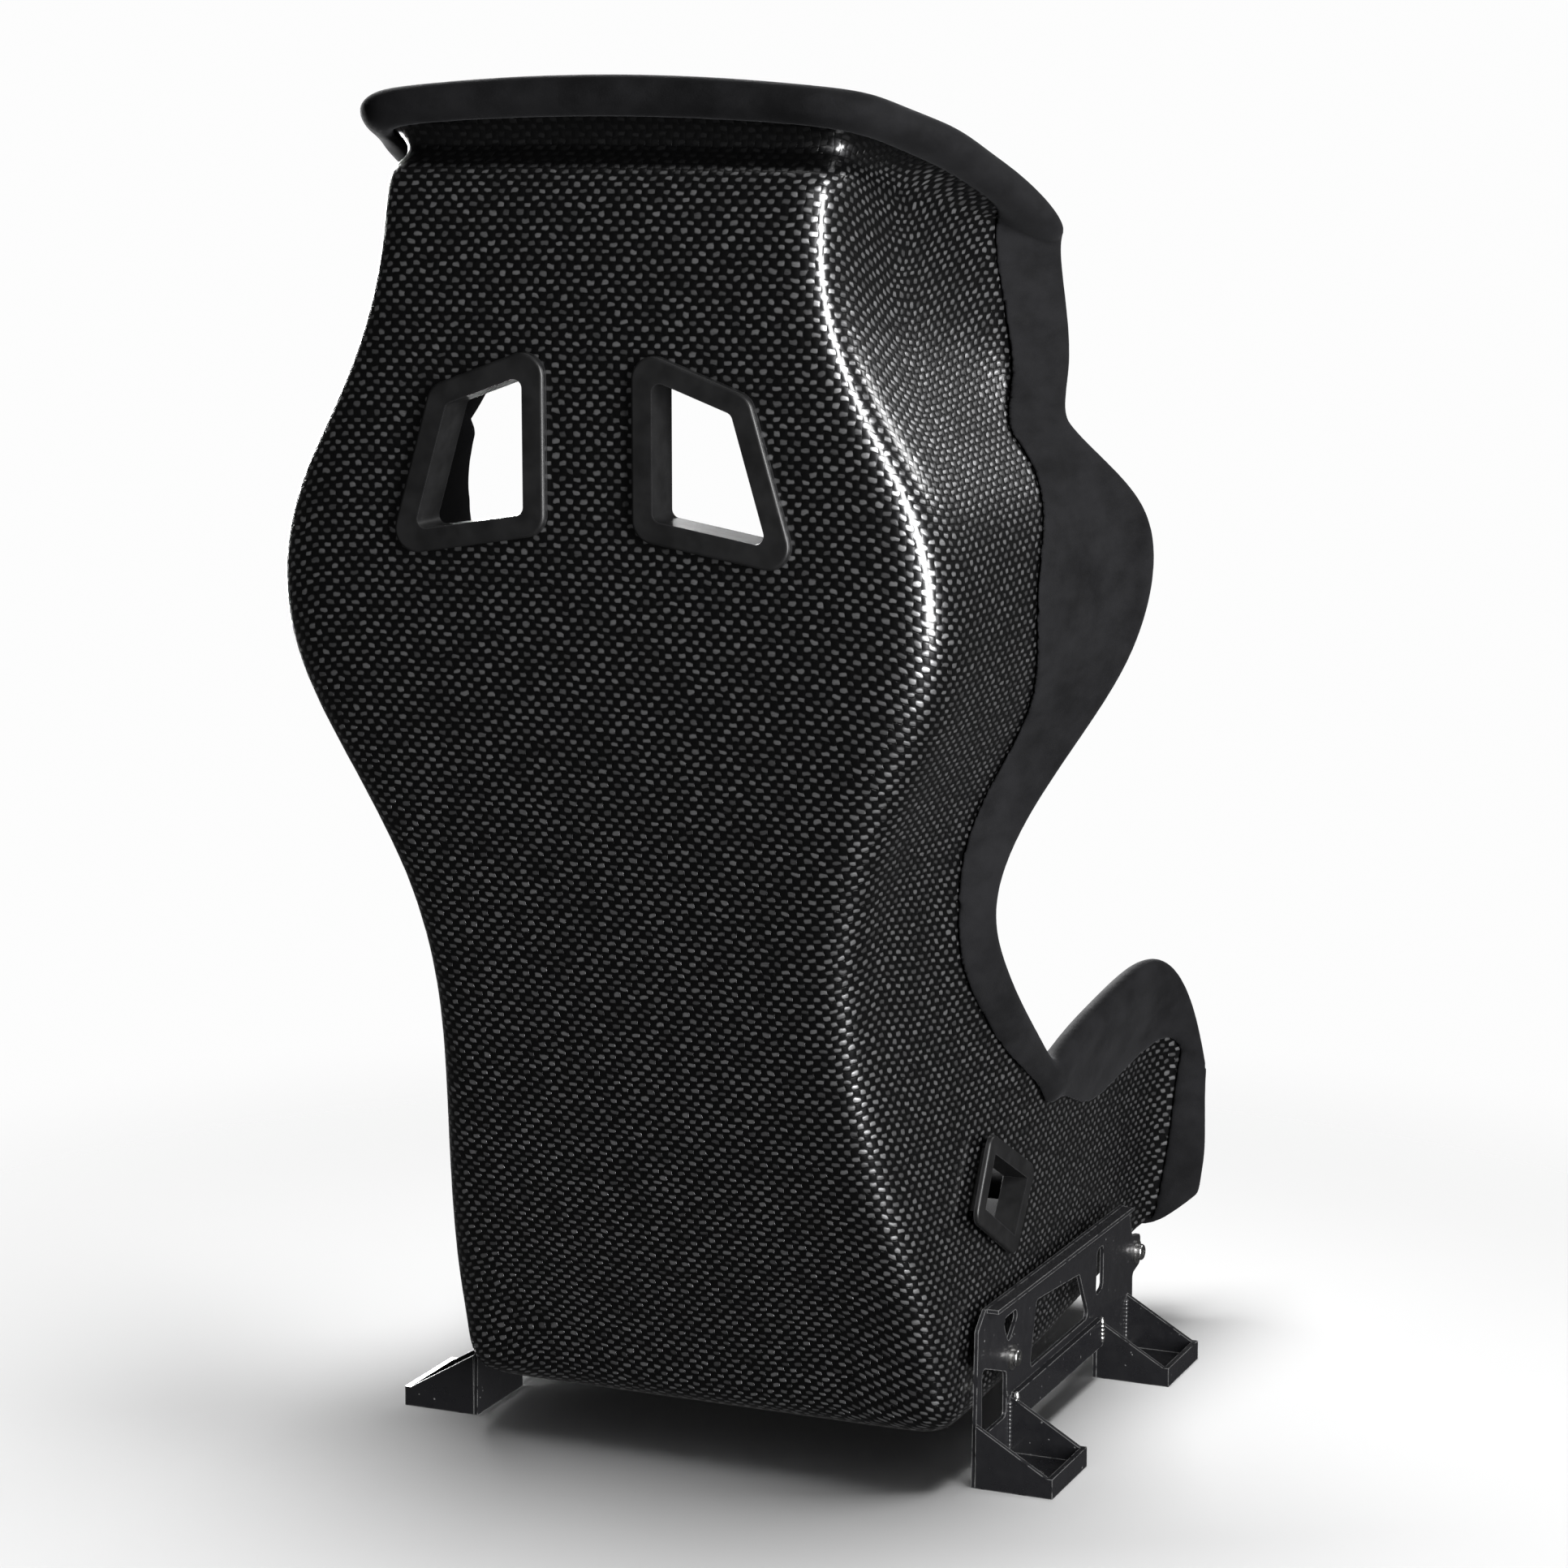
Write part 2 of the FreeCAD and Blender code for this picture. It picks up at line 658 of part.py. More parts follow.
def build_rear_bezel(name, side):
    """Moulded frame on the back of the shell, with a throat that goes through it."""
    body = new_body(name)
    outline = belt_outline(side)
    flange_sketch = sketch_on(body, "XZ_Plane", "flange_outline")
    draw_polygon(flange_sketch, outline)
    pad(body, flange_sketch, "flange", "bezel_proud", reverse=True)
    round_edges(body, "flange_corners", "slot_corner", runs_along(Vec(0, 1, 0)))
    proud = dim("bezel_proud")
    round_edges(body, "flange_edge", "bezel_round",
                lambda edge: min(vertex.Y for vertex in edge.Vertexes) > proud - 0.01)
    throat_sketch = sketch_on(body, "XZ_Plane", "throat_outline")
    draw_polygon(throat_sketch, offset_outline(outline, dim("bezel_flange") - dim("bezel_wall")))
    pad(body, throat_sketch, "throat", "bezel_throat")
    opening = sketch_on(body, "XZ_Plane", "opening_outline")
    draw_polygon(opening, offset_outline(outline, dim("bezel_flange")))
    pocket_through(body, opening, "opening")
    inner = offset_outline(outline, dim("bezel_flange"))
    spots = [Vec(px, 0, py) for px, py in inner]

    def inner_corner(edge):
        if not runs_along(Vec(0, 1, 0))(edge):
            return False
        mid = edge.valueAt(0.5 * (edge.FirstParameter + edge.LastParameter))
        return min(math.hypot(mid.x - spot.x, mid.z - spot.z) for spot in spots) < 0.5

    round_edges(body, "opening_corners", "opening_corner", inner_corner)
    body.Placement = FreeCAD.Placement(slot_origin + slot_rearward * dim("bezel_seat"), FreeCAD.Rotation())
    return body


def build_front_bezel(name, side):
    """Moulded frame on the lined side, seated on the liner round the same slot."""
    body = new_body(name)
    outline = belt_outline(side)
    ring = sketch_on(body, "XZ_Plane", "ring_outline")
    draw_polygon(ring, offset_outline(outline, -1.0))
    pad(body, ring, "ring", "bezel_wall")
    round_edges(body, "ring_corners", "slot_corner", runs_along(Vec(0, 1, 0)))
    opening = sketch_on(body, "XZ_Plane", "opening_outline")
    draw_polygon(opening, offset_outline(outline, dim("bezel_flange") - dim("bezel_wall") - 0.4))
    pocket_through(body, opening, "opening")
    behind = slot_rearward * dim("inner_bezel_back")
    body.Placement = FreeCAD.Placement(slot_origin - behind, FreeCAD.Rotation())
    return body


for side_name, side in (("left", 1), ("right", -1)):
    keep(build_rear_bezel("%s_shoulder_belt_bezel" % side_name, side))
    keep(build_front_bezel("%s_shoulder_belt_inner_bezel" % side_name, side))

# ---------------------------------------------------------------- lap and crotch strap bezels


def wall_x(y, z):
    """Half width of the shell's outside at a place on its side wall."""
    probe = Part.makeLine(Vec(150, y, z), Vec(260, y, z))
    hits = probe.distToShape(outer_skin.toShape())[1]
    return hits[0][1].x


lap_x = max(wall_x(y, z) for y, z in lap_outline(6.0))


def build_lap_bezel(name, side):
    """Moulded frame for the lap belt on the outside of the side wall."""
    body = new_body(name)
    flange_sketch = sketch_on(body, "YZ_Plane", "flange_outline")
    draw_polygon(flange_sketch, lap_outline(0.0))
    pad(body, flange_sketch, "flange", "lap_proud", reverse=side < 0)
    round_edges(body, "flange_corners", "lap_corner", runs_along(Vec(1, 0, 0)))
    proud = dim("lap_proud") - 0.01
    round_edges(body, "flange_edge", "lap_round",
                lambda edge: min(abs(vertex.X) for vertex in edge.Vertexes) > proud)
    throat_sketch = sketch_on(body, "YZ_Plane", "throat_outline")
    draw_polygon(throat_sketch, lap_outline(dim("lap_flange") - dim("bezel_wall")))
    pad(body, throat_sketch, "throat", "lap_throat", reverse=side > 0)
    opening = sketch_on(body, "YZ_Plane", "opening_outline")
    draw_polygon(opening, lap_outline(dim("lap_flange")))
    pocket_through(body, opening, "opening")
    body.Placement = FreeCAD.Placement(Vec(side * (lap_x + dim("bezel_seat")), 0, 0), FreeCAD.Rotation())
    return body


for side_name, side in (("left", 1), ("right", -1)):
    keep(build_lap_bezel("%s_lap_belt_bezel" % side_name, side))


def build_strap_bezel():
    """Moulded frame round the crotch strap slot, on the outside of the base."""
    body = new_body("crotch_strap_bezel")
    flange_sketch = sketch_on(body, "XY_Plane", "flange_outline")
    draw_polygon(flange_sketch, offset_outline(STRAP_OUTLINE, -dim("strap_flange")))
    pad(body, flange_sketch, "flange", "lap_proud", reverse=True)
    round_edges(body, "flange_corners", "slot_corner", runs_along(Vec(0, 0, 1)))
    throat_sketch = sketch_on(body, "XY_Plane", "throat_outline")
    draw_polygon(throat_sketch, offset_outline(STRAP_OUTLINE, dim("strap_throat")))
    pad(body, throat_sketch, "throat", "lap_throat")
    opening = sketch_on(body, "XY_Plane", "opening_outline")
    draw_polygon(opening, offset_outline(STRAP_OUTLINE, dim("strap_opening")))
    pocket_through(body, opening, "opening")
    return body


def base_slope():
    """Lean of the base at the crotch strap slot, in degrees about X."""
    behind = outer_skin.value(station_u("pan", 0.3), 0.5)
    ahead = outer_skin.value(station_u("pan", -0.3), 0.5)
    return math.degrees(math.atan2(behind.z - ahead.z, behind.y - ahead.y))


strap_bezel = build_strap_bezel()
strap_place = Part.makeLine(Vec(0, strap_y, 0), Vec(0, strap_y, 200)).distToShape(outer_skin.toShape())[1]
strap_bezel.Placement = FreeCAD.Placement(strap_place[0][1] - Vec(0, 0, dim("strap_seat")),
                                          FreeCAD.Rotation(Vec(1, 0, 0), base_slope()))
keep(strap_bezel)

# ---------------------------------------------------------------- side brackets

# Openings in the bracket's plate, as (y, z) corners.
REAR_WINDOW = [(108, 34), (56, 34), (56, 68), (108, 86)]
SLIM_REAR_WINDOW = [(66, 110), (26, 110), (52, 88)]
MAIN_WINDOW = [(-8, 104), (-106, 96), (-130, 55), (6, 55)]
SLIM_FRONT_WINDOW = [(-148, 104), (-163, 104), (-163, 70), (-145, 66)]


def build_side_plate(name, side):
    """Flat plate of the bracket: two legs, a top rail, two struts and their windows."""
    body = new_body(name)
    rear = dim("plate_rear")
    front = dim("plate_front")
    top = dim("plate_top")
    low = dim("bar_low")
    rear_leg_front = dim("foot_rear_y") - 0.5 * dim("foot_length")
    front_leg_rear = rear_leg_front - dim("foot_pitch") + dim("foot_length")
    ear = front - 18
    outline = [
        (rear, 0), (rear - 5, top - 12), (rear - 20, top), (front + 26, top - 5), (front + 12, top - 12),
        (front + 3, 92), (ear, 88), (ear, 64), (front + 1, 60), (front, 0),
        (front_leg_rear, 0), (front_leg_rear, low), (rear_leg_front, low), (rear_leg_front, 0),
    ]
    face = sketch_on(body, "YZ_Plane", "plate_outline")
    draw_polygon(face, outline)
    pad(body, face, "plate", "plate_thick", reverse=side < 0)
    windows = (("rear_window", REAR_WINDOW), ("slim_rear_window", SLIM_REAR_WINDOW),
               ("main_window", MAIN_WINDOW), ("slim_front_window", SLIM_FRONT_WINDOW))
    for window_name, corners in windows:
        hole = sketch_on(body, "YZ_Plane", window_name + "_outline")
        draw_polygon(hole, corners)
        pocket_through(body, hole, window_name)
    thick = dim("plate_thick")
    chooser = runs_along(Vec(1, 0, 0))
    round_edges(body, "plate_corners", "plate_corner",
                lambda edge: chooser(edge) and edge.Length > thick - 0.1 and edge.Vertexes[0].Z > 1)
    holes = sketch_on(body, "YZ_Plane", "bolt_holes_outline")
    for bolt in range(2):
        draw_circle(holes, dim("bolt_rear_y") - bolt * dim("bolt_pitch"), dim("bolt_height"), "bolt_shank")
    pocket_through(body, holes, "bolt_holes")
    body.Placement = FreeCAD.Placement(Vec(side * dim("bracket_face"), 0, 0), FreeCAD.Rotation())
    return body


def build_top_flange(name, side):
    """Strip folded outwards along the top of the plate."""
    strip = doc.addObject("Part::Box", name)
    strip.Label = name
    rear = dim("plate_rear") - 22
    front = dim("plate_front") + 30
    slope = math.degrees(math.atan2(5.0, rear - front))
    strip.setExpression("Length", cell("plate_flange"))
    strip.setExpression("Height", cell("plate_thick"))
    strip.Width = (rear - front) / math.cos(math.radians(slope))
    start_x = dim("bracket_face") + dim("plate_thick")
    x = start_x if side > 0 else -start_x - dim("plate_flange")
    strip.Placement = FreeCAD.Placement(Vec(x, front, dim("plate_top") - 5.0 - dim("plate_thick")),
                                        FreeCAD.Rotation(Vec(1, 0, 0), slope))
    return strip


def build_lower_bar(name, side):
    """Flat bar welded outside the plate, from foot to foot."""
    rear_end = dim("foot_rear_y") - 0.5 * dim("foot_length")
    front_end = rear_end - dim("foot_pitch") + dim("foot_length")
    bar = doc.addObject("Part::Box", name)
    bar.Label = name
    bar.setExpression("Length", cell("bar_thick"))
    bar.setExpression("Height", "%s - %s" % (cell("bar_high"), cell("bar_low")))
    bar.Width = rear_end - front_end
    start_x = dim("bracket_face") + dim("plate_thick")
    x = start_x if side > 0 else -start_x - dim("bar_thick")
    bar.Placement = FreeCAD.Placement(Vec(x, front_end, dim("bar_low")), FreeCAD.Rotation())
    return bar


def build_foot(name, side, centre_y):
    """Welded foot: a floor plate with one fixing hole, two gussets and an end lip."""
    body = new_body(name)
    reach = dim("foot_reach")
    length = dim("foot_length")
    floor_sketch = sketch_on(body, "XY_Plane", "floor_outline")
    half = 0.5 * length
    draw_polygon(floor_sketch, [(0, -half), (side * reach, -half), (side * reach, half), (0, half)])
    pad(body, floor_sketch, "floor", "foot_floor")
    thick = dim("gusset_thick")
    profile = [(0, 0), (side * reach, 0), (side * reach, dim("gusset_low")),
               (side * (reach - 5), dim("gusset_low")), (0, dim("gusset_high"))]
    for gusset_name, start in (("rear_gusset", half), ("front_gusset", -half + thick)):
        cheek = sketch_on(body, "XZ_Plane", gusset_name + "_outline", lift=-start)
        draw_polygon(cheek, profile)
        pad(body, cheek, gusset_name, "gusset_thick")
    lip = sketch_on(body, "XY_Plane", "lip_outline")
    draw_polygon(lip, [(side * reach, -half), (side * (reach - thick), -half),
                       (side * (reach - thick), half), (side * reach, half)])
    pad(body, lip, "end_lip", "gusset_low")
    hole = sketch_on(body, "XY_Plane", "fixing_hole_outline")
    draw_circle(hole, side * dim("foot_hole_out"), 0, "foot_hole")
    pocket_through(body, hole, "fixing_hole")
    start_x = dim("bracket_face") + dim("plate_thick")
    body.Placement = FreeCAD.Placement(Vec(side * start_x, centre_y, 0), FreeCAD.Rotation())
    return body


for side_name, side in (("left", 1), ("right", -1)):
    keep(build_side_plate("%s_bracket_plate" % side_name, side))
    keep(build_top_flange("%s_bracket_top_flange" % side_name, side))
    keep(build_lower_bar("%s_bracket_lower_bar" % side_name, side))
    for end_name, step in (("rear", 0), ("front", 1)):
        centre = dim("foot_rear_y") - step * dim("foot_pitch")
        keep(build_foot("%s_bracket_%s_foot" % (side_name, end_name), side, centre))

# ---------------------------------------------------------------- seat fixings


def fixing_places():
    """Outer face of the bracket plate at each of the four seat bolts."""
    for side in (1, -1):
        for bolt in range(2):
            y = dim("bolt_rear_y") - bolt * dim("bolt_pitch")
            yield side, Vec(side * (dim("bracket_face") + dim("plate_thick")), y, dim("bolt_height"))


def build_bolts():
    """Button head socket bolts, one in each fixing hole."""
    bolts = []
    inside = dim("plate_thick") + 16
    for side, place in fixing_places():
        out = Vec(side, 0, 0)
        under_head = place + out * dim("washer_thick")
        shank = Part.makeCylinder(0.5 * dim("bolt_shank") - 0.3, inside, under_head - out * inside, out)
        head = Part.makeCylinder(0.5 * dim("bolt_head"), dim("bolt_head_high"), under_head, out)
        rim = [edge for edge in head.Edges if abs(edge.CenterOfMass.x) > abs(under_head.x) + 4]
        head = head.makeFillet(2.2, rim)
        corners = []
        for corner in range(7):
            angle = math.radians(60 * corner)
            reach = dim("bolt_socket") / math.sqrt(3)
            spot = under_head + out * (dim("bolt_head_high") - 2.6)
            corners.append(spot + Vec(0, reach * math.cos(angle), reach * math.sin(angle)))
        socket = Part.Face(Part.makePolygon(corners)).extrude(out * 5)
        bolts.append(shank.fuse(head).removeSplitter().cut(socket))
    return Part.makeCompound(bolts)


def build_washers():
    """Flat washers between the bolt heads and the plates."""
    washers = []
    for side, place in fixing_places():
        disc = Part.makeCylinder(0.5 * dim("washer_size"), dim("washer_thick"), place, Vec(side, 0, 0))
        hole = Part.makeCylinder(0.5 * dim("bolt_shank"), 20, place - Vec(10 * side, 0, 0), Vec(side, 0, 0))
        washers.append(disc.cut(hole))
    return Part.makeCompound(washers)


def build_inserts():
    """Threaded bosses bonded inside the shell's side wall, one behind each bolt."""
    bosses = []
    for side, place in fixing_places():
        start = Vec(side * (inner_wall_x(place.y, place.z) - 1.0 - dim("insert_thick")), place.y, place.z)
        disc = Part.makeCylinder(0.5 * dim("insert_size"), dim("insert_thick"), start, Vec(side, 0, 0))
        hole = Part.makeCylinder(0.5 * dim("bolt_shank"), 20, start - Vec(10 * side, 0, 0), Vec(side, 0, 0))
        bosses.append(disc.cut(hole))
    return Part.makeCompound(bosses)


def inner_wall_x(y, z):
    """Half width of the shell's inside at a place on its side wall."""
    probe = Part.makeLine(Vec(120, y, z), Vec(260, y, z))
    hits = probe.distToShape(inner_skin.toShape())[1]
    return hits[0][1].x


keep(feature("seat_bolts", build_bolts()))
keep(feature("seat_washers", build_washers()))
keep(feature("seat_threaded_bosses", build_inserts()))

# ---------------------------------------------------------------- checks and export

doc.recompute()
for item in doc.Objects:
    if "Invalid" in item.State or "Error" in item.State:
        raise RuntimeError("%s failed: %s" % (item.Label, item.State))
whole = FreeCAD.BoundBox()
for node in NODES:
    if node.Shape.isNull() or not node.Shape.isValid():
        raise RuntimeError("%s has a bad shape" % node.Label)
    whole.add(node.Shape.BoundBox)
    node.Shape.exportStep("parts/%s.step" % node.Label)
print("nodes", len(NODES))
print("low corner", round(whole.XMin, 2), round(whole.YMin, 2), round(whole.ZMin, 2))
print("high corner", round(whole.XMax, 2), round(whole.YMax, 2), round(whole.ZMax, 2))
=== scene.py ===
import json
import math

import bmesh
import bpy
import numpy as np
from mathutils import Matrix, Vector
from mathutils.bvhtree import BVHTree
from mathutils.kdtree import KDTree

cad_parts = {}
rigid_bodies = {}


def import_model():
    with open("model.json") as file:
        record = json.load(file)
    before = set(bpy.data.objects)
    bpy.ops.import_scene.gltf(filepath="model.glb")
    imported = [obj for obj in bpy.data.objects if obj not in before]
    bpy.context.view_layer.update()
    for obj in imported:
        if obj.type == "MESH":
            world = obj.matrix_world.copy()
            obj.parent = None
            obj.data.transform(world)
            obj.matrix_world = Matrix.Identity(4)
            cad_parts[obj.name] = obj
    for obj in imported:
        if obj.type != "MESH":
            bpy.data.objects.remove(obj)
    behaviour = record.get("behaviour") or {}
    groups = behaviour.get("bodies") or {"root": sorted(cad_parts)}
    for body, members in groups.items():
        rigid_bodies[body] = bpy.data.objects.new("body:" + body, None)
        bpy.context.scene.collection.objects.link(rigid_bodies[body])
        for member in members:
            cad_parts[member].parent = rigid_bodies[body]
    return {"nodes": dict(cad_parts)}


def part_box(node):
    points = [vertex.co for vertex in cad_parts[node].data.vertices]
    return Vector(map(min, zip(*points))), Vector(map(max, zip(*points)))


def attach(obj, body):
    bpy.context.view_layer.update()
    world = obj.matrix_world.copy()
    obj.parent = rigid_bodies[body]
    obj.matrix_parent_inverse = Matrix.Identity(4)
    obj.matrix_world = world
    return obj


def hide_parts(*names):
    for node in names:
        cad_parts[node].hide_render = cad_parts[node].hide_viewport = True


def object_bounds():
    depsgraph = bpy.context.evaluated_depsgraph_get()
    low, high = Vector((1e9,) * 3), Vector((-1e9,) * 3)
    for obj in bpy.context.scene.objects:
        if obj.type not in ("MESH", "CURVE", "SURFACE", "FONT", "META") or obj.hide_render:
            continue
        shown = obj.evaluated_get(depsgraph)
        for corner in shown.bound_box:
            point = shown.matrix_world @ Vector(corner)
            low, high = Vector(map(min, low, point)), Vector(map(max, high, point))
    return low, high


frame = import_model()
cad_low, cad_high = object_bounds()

MM = 0.001
ROOT = "root"
NODES = frame["nodes"]
SCENE = bpy.context.scene


# ---------------------------------------------------------------- small helpers

def link(obj):
    SCENE.collection.objects.link(obj)
    return obj


def object_from(name, points, faces, smooth=True):
    mesh = bpy.data.meshes.new(name)
    mesh.from_pydata([tuple(p) for p in points], [], [tuple(f) for f in faces])
    mesh.update()
    if smooth:
        mesh.polygons.foreach_set("use_smooth", [True] * len(mesh.polygons))
    return link(bpy.data.objects.new(name, mesh))


def apply_modifiers(obj):
    graph = bpy.context.evaluated_depsgraph_get()
    mesh = bpy.data.meshes.new_from_object(obj.evaluated_get(graph), depsgraph=graph)
    old = obj.data
    obj.modifiers.clear()
    obj.data = mesh
    bpy.data.meshes.remove(old)
    return obj


def points_of(mesh):
    points = np.empty(len(mesh.vertices) * 3)
    mesh.vertices.foreach_get("co", points)
    return points.reshape(-1, 3)


def tree_of(mesh):
    return BVHTree.FromPolygons([v.co for v in mesh.vertices], [p.vertices for p in mesh.polygons])


def smoothstep(x):
    x = np.clip(x, 0.0, 1.0)
    return x * x * (3 - 2 * x)


# ---------------------------------------------------------------- node helpers

class Shader:
    """One Principled material whose inputs come from procedural nodes."""

    def __init__(self, name, **sockets):
        self.material = bpy.data.materials.new(name)
        self.material.use_nodes = True
        self.tree = self.material.node_tree
        self.surface = self.tree.nodes["Principled BSDF"]
        for socket, value in sockets.items():
            self.surface.inputs[socket.replace("_", " ")].default_value = value

    def node(self, kind, **settings):
        made = self.tree.nodes.new("ShaderNode" + kind)
        for key, value in settings.items():
            setattr(made, key, value)
        return made

    def join(self, source, target):
        if isinstance(source, (int, float, tuple)):
            target.default_value = source
        else:
            self.tree.links.new(source, target)

    def math(self, operation, a, b=0.0, c=0.0):
        made = self.node("Math", operation=operation)
        for value, socket in zip((a, b, c), made.inputs):
            self.join(value, socket)
        return made.outputs[0]

    def mix(self, factor, a, b):
        made = self.node("Mix", data_type="FLOAT")
        for value, index in ((factor, 0), (a, 2), (b, 3)):
            self.join(value, made.inputs[index])
        return made.outputs[0]

    def colour(self, factor, dark, light):
        made = self.node("Mix", data_type="RGBA")
        self.join(factor, made.inputs[0])
        self.join(dark + (1,), made.inputs[6])
        self.join(light + (1,), made.inputs[7])
        return made.outputs[2]

    def ramp(self, value, low, high, to_low=0.0, to_high=1.0):
        made = self.node("MapRange", interpolation_type="SMOOTHSTEP")
        for item, index in ((value, 0), (low, 1), (high, 2), (to_low, 3), (to_high, 4)):
            self.join(item, made.inputs[index])
        return made.outputs[0]

    def place(self, stretch=(1, 1, 1)):
        source = self.node("TexCoord").outputs["Object"]
        mapping = self.node("Mapping")
        self.join(source, mapping.inputs["Vector"])
        mapping.inputs["Scale"].default_value = stretch
        return mapping.outputs[0]

    def noise(self, scale, detail=2.0, rough=0.5, where=None):
        made = self.node("TexNoise")
        self.join(where if where is not None else self.place(), made.inputs["Vector"])
        made.inputs["Scale"].default_value = scale
        made.inputs["Detail"].default_value = detail
        made.inputs["Roughness"].default_value = rough
        return made.outputs["Fac"]

    def cells(self, scale):
        made = self.node("TexVoronoi")
        self.join(self.place(), made.inputs["Vector"])
        made.inputs["Scale"].default_value = scale
        return made.outputs["Distance"]

    def bump(self, height, distance, strength=1.0, below=None):
        made = self.node("Bump")
        made.inputs["Strength"].default_value = strength
        made.inputs["Distance"].default_value = distance
        self.join(height, made.inputs["Height"])
        if below is not None:
            self.join(below, made.inputs["Normal"])
        return made.outputs[0]

    def put(self, socket, value):
        self.join(value, self.surface.inputs[socket])

    def edges(self, radius):
        """1 along convex and concave edges, 0 on open faces."""
        bevel = self.node("Bevel", samples=6)
        bevel.inputs["Radius"].default_value = radius
        flat = self.node("NewGeometry").outputs["Normal"]
        dot = self.node("VectorMath", operation="DOT_PRODUCT")  # cosine between rounded and true normals
        self.join(bevel.outputs[0], dot.inputs[0])
        self.join(flat, dot.inputs[1])
        return self.ramp(dot.outputs["Value"], 0.995, 0.90)

    def pair(self, first, second):
        made = self.node("CombineXYZ")
        self.join(first, made.inputs[0])
        self.join(second, made.inputs[1])
        return made.outputs[0]

    def flat_noise(self, scale, detail, where):
        made = self.node("TexNoise", noise_dimensions="2D")
        self.join(where, made.inputs["Vector"])
        made.inputs["Scale"].default_value = scale
        made.inputs["Detail"].default_value = detail
        return made


def tinted(colour, strength):
    return tuple(channel * strength for channel in colour)


def dress(obj, shader):
    material = shader.material
    if obj.data.materials:
        for index in range(len(obj.data.materials)):
            obj.material_slots[index].material = material
    else:
        obj.data.materials.append(material)


def settle(obj, shader, slot, *replaced):
    dress(obj, shader)
    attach(obj, ROOT)
    if replaced:
        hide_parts(*replaced)
    return obj


# ---------------------------------------------------------------- materials

TOW = 5.0 * MM  # width of one tow
TOW_WANDER = 0.8  # how far the tows stray, in tow widths
SHADED_BAND_LOW, SHADED_BAND_HIGH = 0.936, 0.948  # painted shade: above this height the weave is darkened to near black, where the concave band under the head rim lies in shade


def carbon_material():
    """Glossy plain weave: pale weft lumps on a near-black ground, under clear resin, with painted shade
    on the concave band under the head rim.
    """
    s = Shader("carbon_plain_weave", Metallic=0.95, Coat_Weight=0.8, Coat_Roughness=0.18, Coat_IOR=1.5)
    cloth = s.node("UVMap", uv_map="weave").outputs[0]
    parts = s.node("SeparateXYZ")
    s.join(cloth, parts.inputs[0])
    wander = s.node("SeparateColor")
    s.join(s.flat_noise(90, 2, cloth).outputs["Color"], wander.inputs[0])

    def tows(index):
        stray = s.math("MULTIPLY", wander.outputs[index], TOW_WANDER)
        return s.math("ADD", s.math("DIVIDE", parts.outputs[index], TOW), stray)

    def centred(tow):
        return s.math("MULTIPLY_ADD", s.math("FRACT", tow), 2.0, -1.0)

    across_u, across_v = tows(0), tows(1)
    column, row = s.math("FLOOR", across_u), s.math("FLOOR", across_v)
    warp_up = s.math("FLOORED_MODULO", s.math("ADD", column, row), 2.0)
    a, b = centred(across_u), centred(across_v)
    along = s.mix(warp_up, a, b)
    across = s.mix(warp_up, b, a)

    # rounded lumps, with fine fibres along each and its own brightness
    crown = s.math("SUBTRACT", 1.0, s.math("POWER", s.math("ABSOLUTE", across), 1.9))
    dive = s.math("POWER", s.math("ABSOLUTE", along), 3.0)
    lump = s.math("MULTIPLY", crown, s.math("SUBTRACT", 1.0, s.math("MULTIPLY", dive, 0.40)))
    strand = s.math("ADD", s.math("MULTIPLY", column, 3.7), row)
    fibres = s.pair(across, s.math("MULTIPLY_ADD", along, 0.08, strand))
    grain = s.flat_noise(6, 3, fibres).outputs["Fac"]
    tuft = s.node("TexWhiteNoise", noise_dimensions="2D")
    s.join(s.pair(column, row), tuft.inputs["Vector"])
    shine = s.math("MULTIPLY", s.ramp(lump, 0.38, 0.92), s.math("SUBTRACT", 1.0, warp_up))
    shine = s.math("MULTIPLY", shine, s.math("MULTIPLY_ADD", tuft.outputs["Value"], 0.75, 0.30))
    shine = s.math("MULTIPLY", shine, s.ramp(grain, 0.2, 0.6, 0.65, 1.0))

    height = s.node("SeparateXYZ")
    s.join(s.place(), height.inputs[0])
    # painted shade: the weft lumps fade to near black high on the shell, in the concave band under the
    # head rim
    shine = s.math("MULTIPLY", shine, s.ramp(height.outputs[2], SHADED_BAND_LOW, SHADED_BAND_HIGH, 1.0, 0.06))
    s.put("Base Color", s.colour(shine, (0.010, 0.010, 0.0105), (0.50, 0.50, 0.51)))
    s.put("Roughness", s.mix(shine, 0.40, 0.36))
    s.put("Normal", s.bump(s.math("MULTIPLY_ADD", grain, 0.12, lump), 0.30 * MM, 0.8))
    haze = s.noise(14, 3)
    s.put("Coat Normal", s.bump(s.math("MULTIPLY_ADD", haze, 0.6, lump), 0.14 * MM, 0.6))
    return s


def suede_material(name, tint):
    """Brushed microfibre: short nap, soft sheen, hand-rubbed mottle."""
    s = Shader(name, Sheen_Weight=0.045, Sheen_Roughness=0.35, Specular_IOR_Level=0.06)
    s.surface.inputs["Sheen Tint"].default_value = (0.75, 0.76, 0.80, 1)
    rub = s.noise(22, 4, 0.6)
    stroke = s.noise(70, 3, 0.55, s.place((1, 0.35, 1)))
    nap = s.noise(1500, 2)
    pile = s.cells(900)
    shade = s.math("MULTIPLY_ADD", stroke, 0.45, s.math("MULTIPLY", rub, 0.75))
    shade = s.math("MULTIPLY_ADD", nap, 0.35, shade)
    dark, light = tinted((0.010, 0.010, 0.011), tint), tinted((0.034, 0.034, 0.037), tint)
    s.put("Base Color", s.colour(s.ramp(shade, 0.45, 1.05), dark, light))
    s.put("Roughness", s.ramp(rub, 0.3, 0.7, 0.80, 0.95))
    soft = s.bump(rub, 1.2 * MM, 0.25)
    s.put("Normal", s.bump(s.math("MULTIPLY_ADD", pile, 0.5, nap), 0.22 * MM, 0.7, soft))
    return s


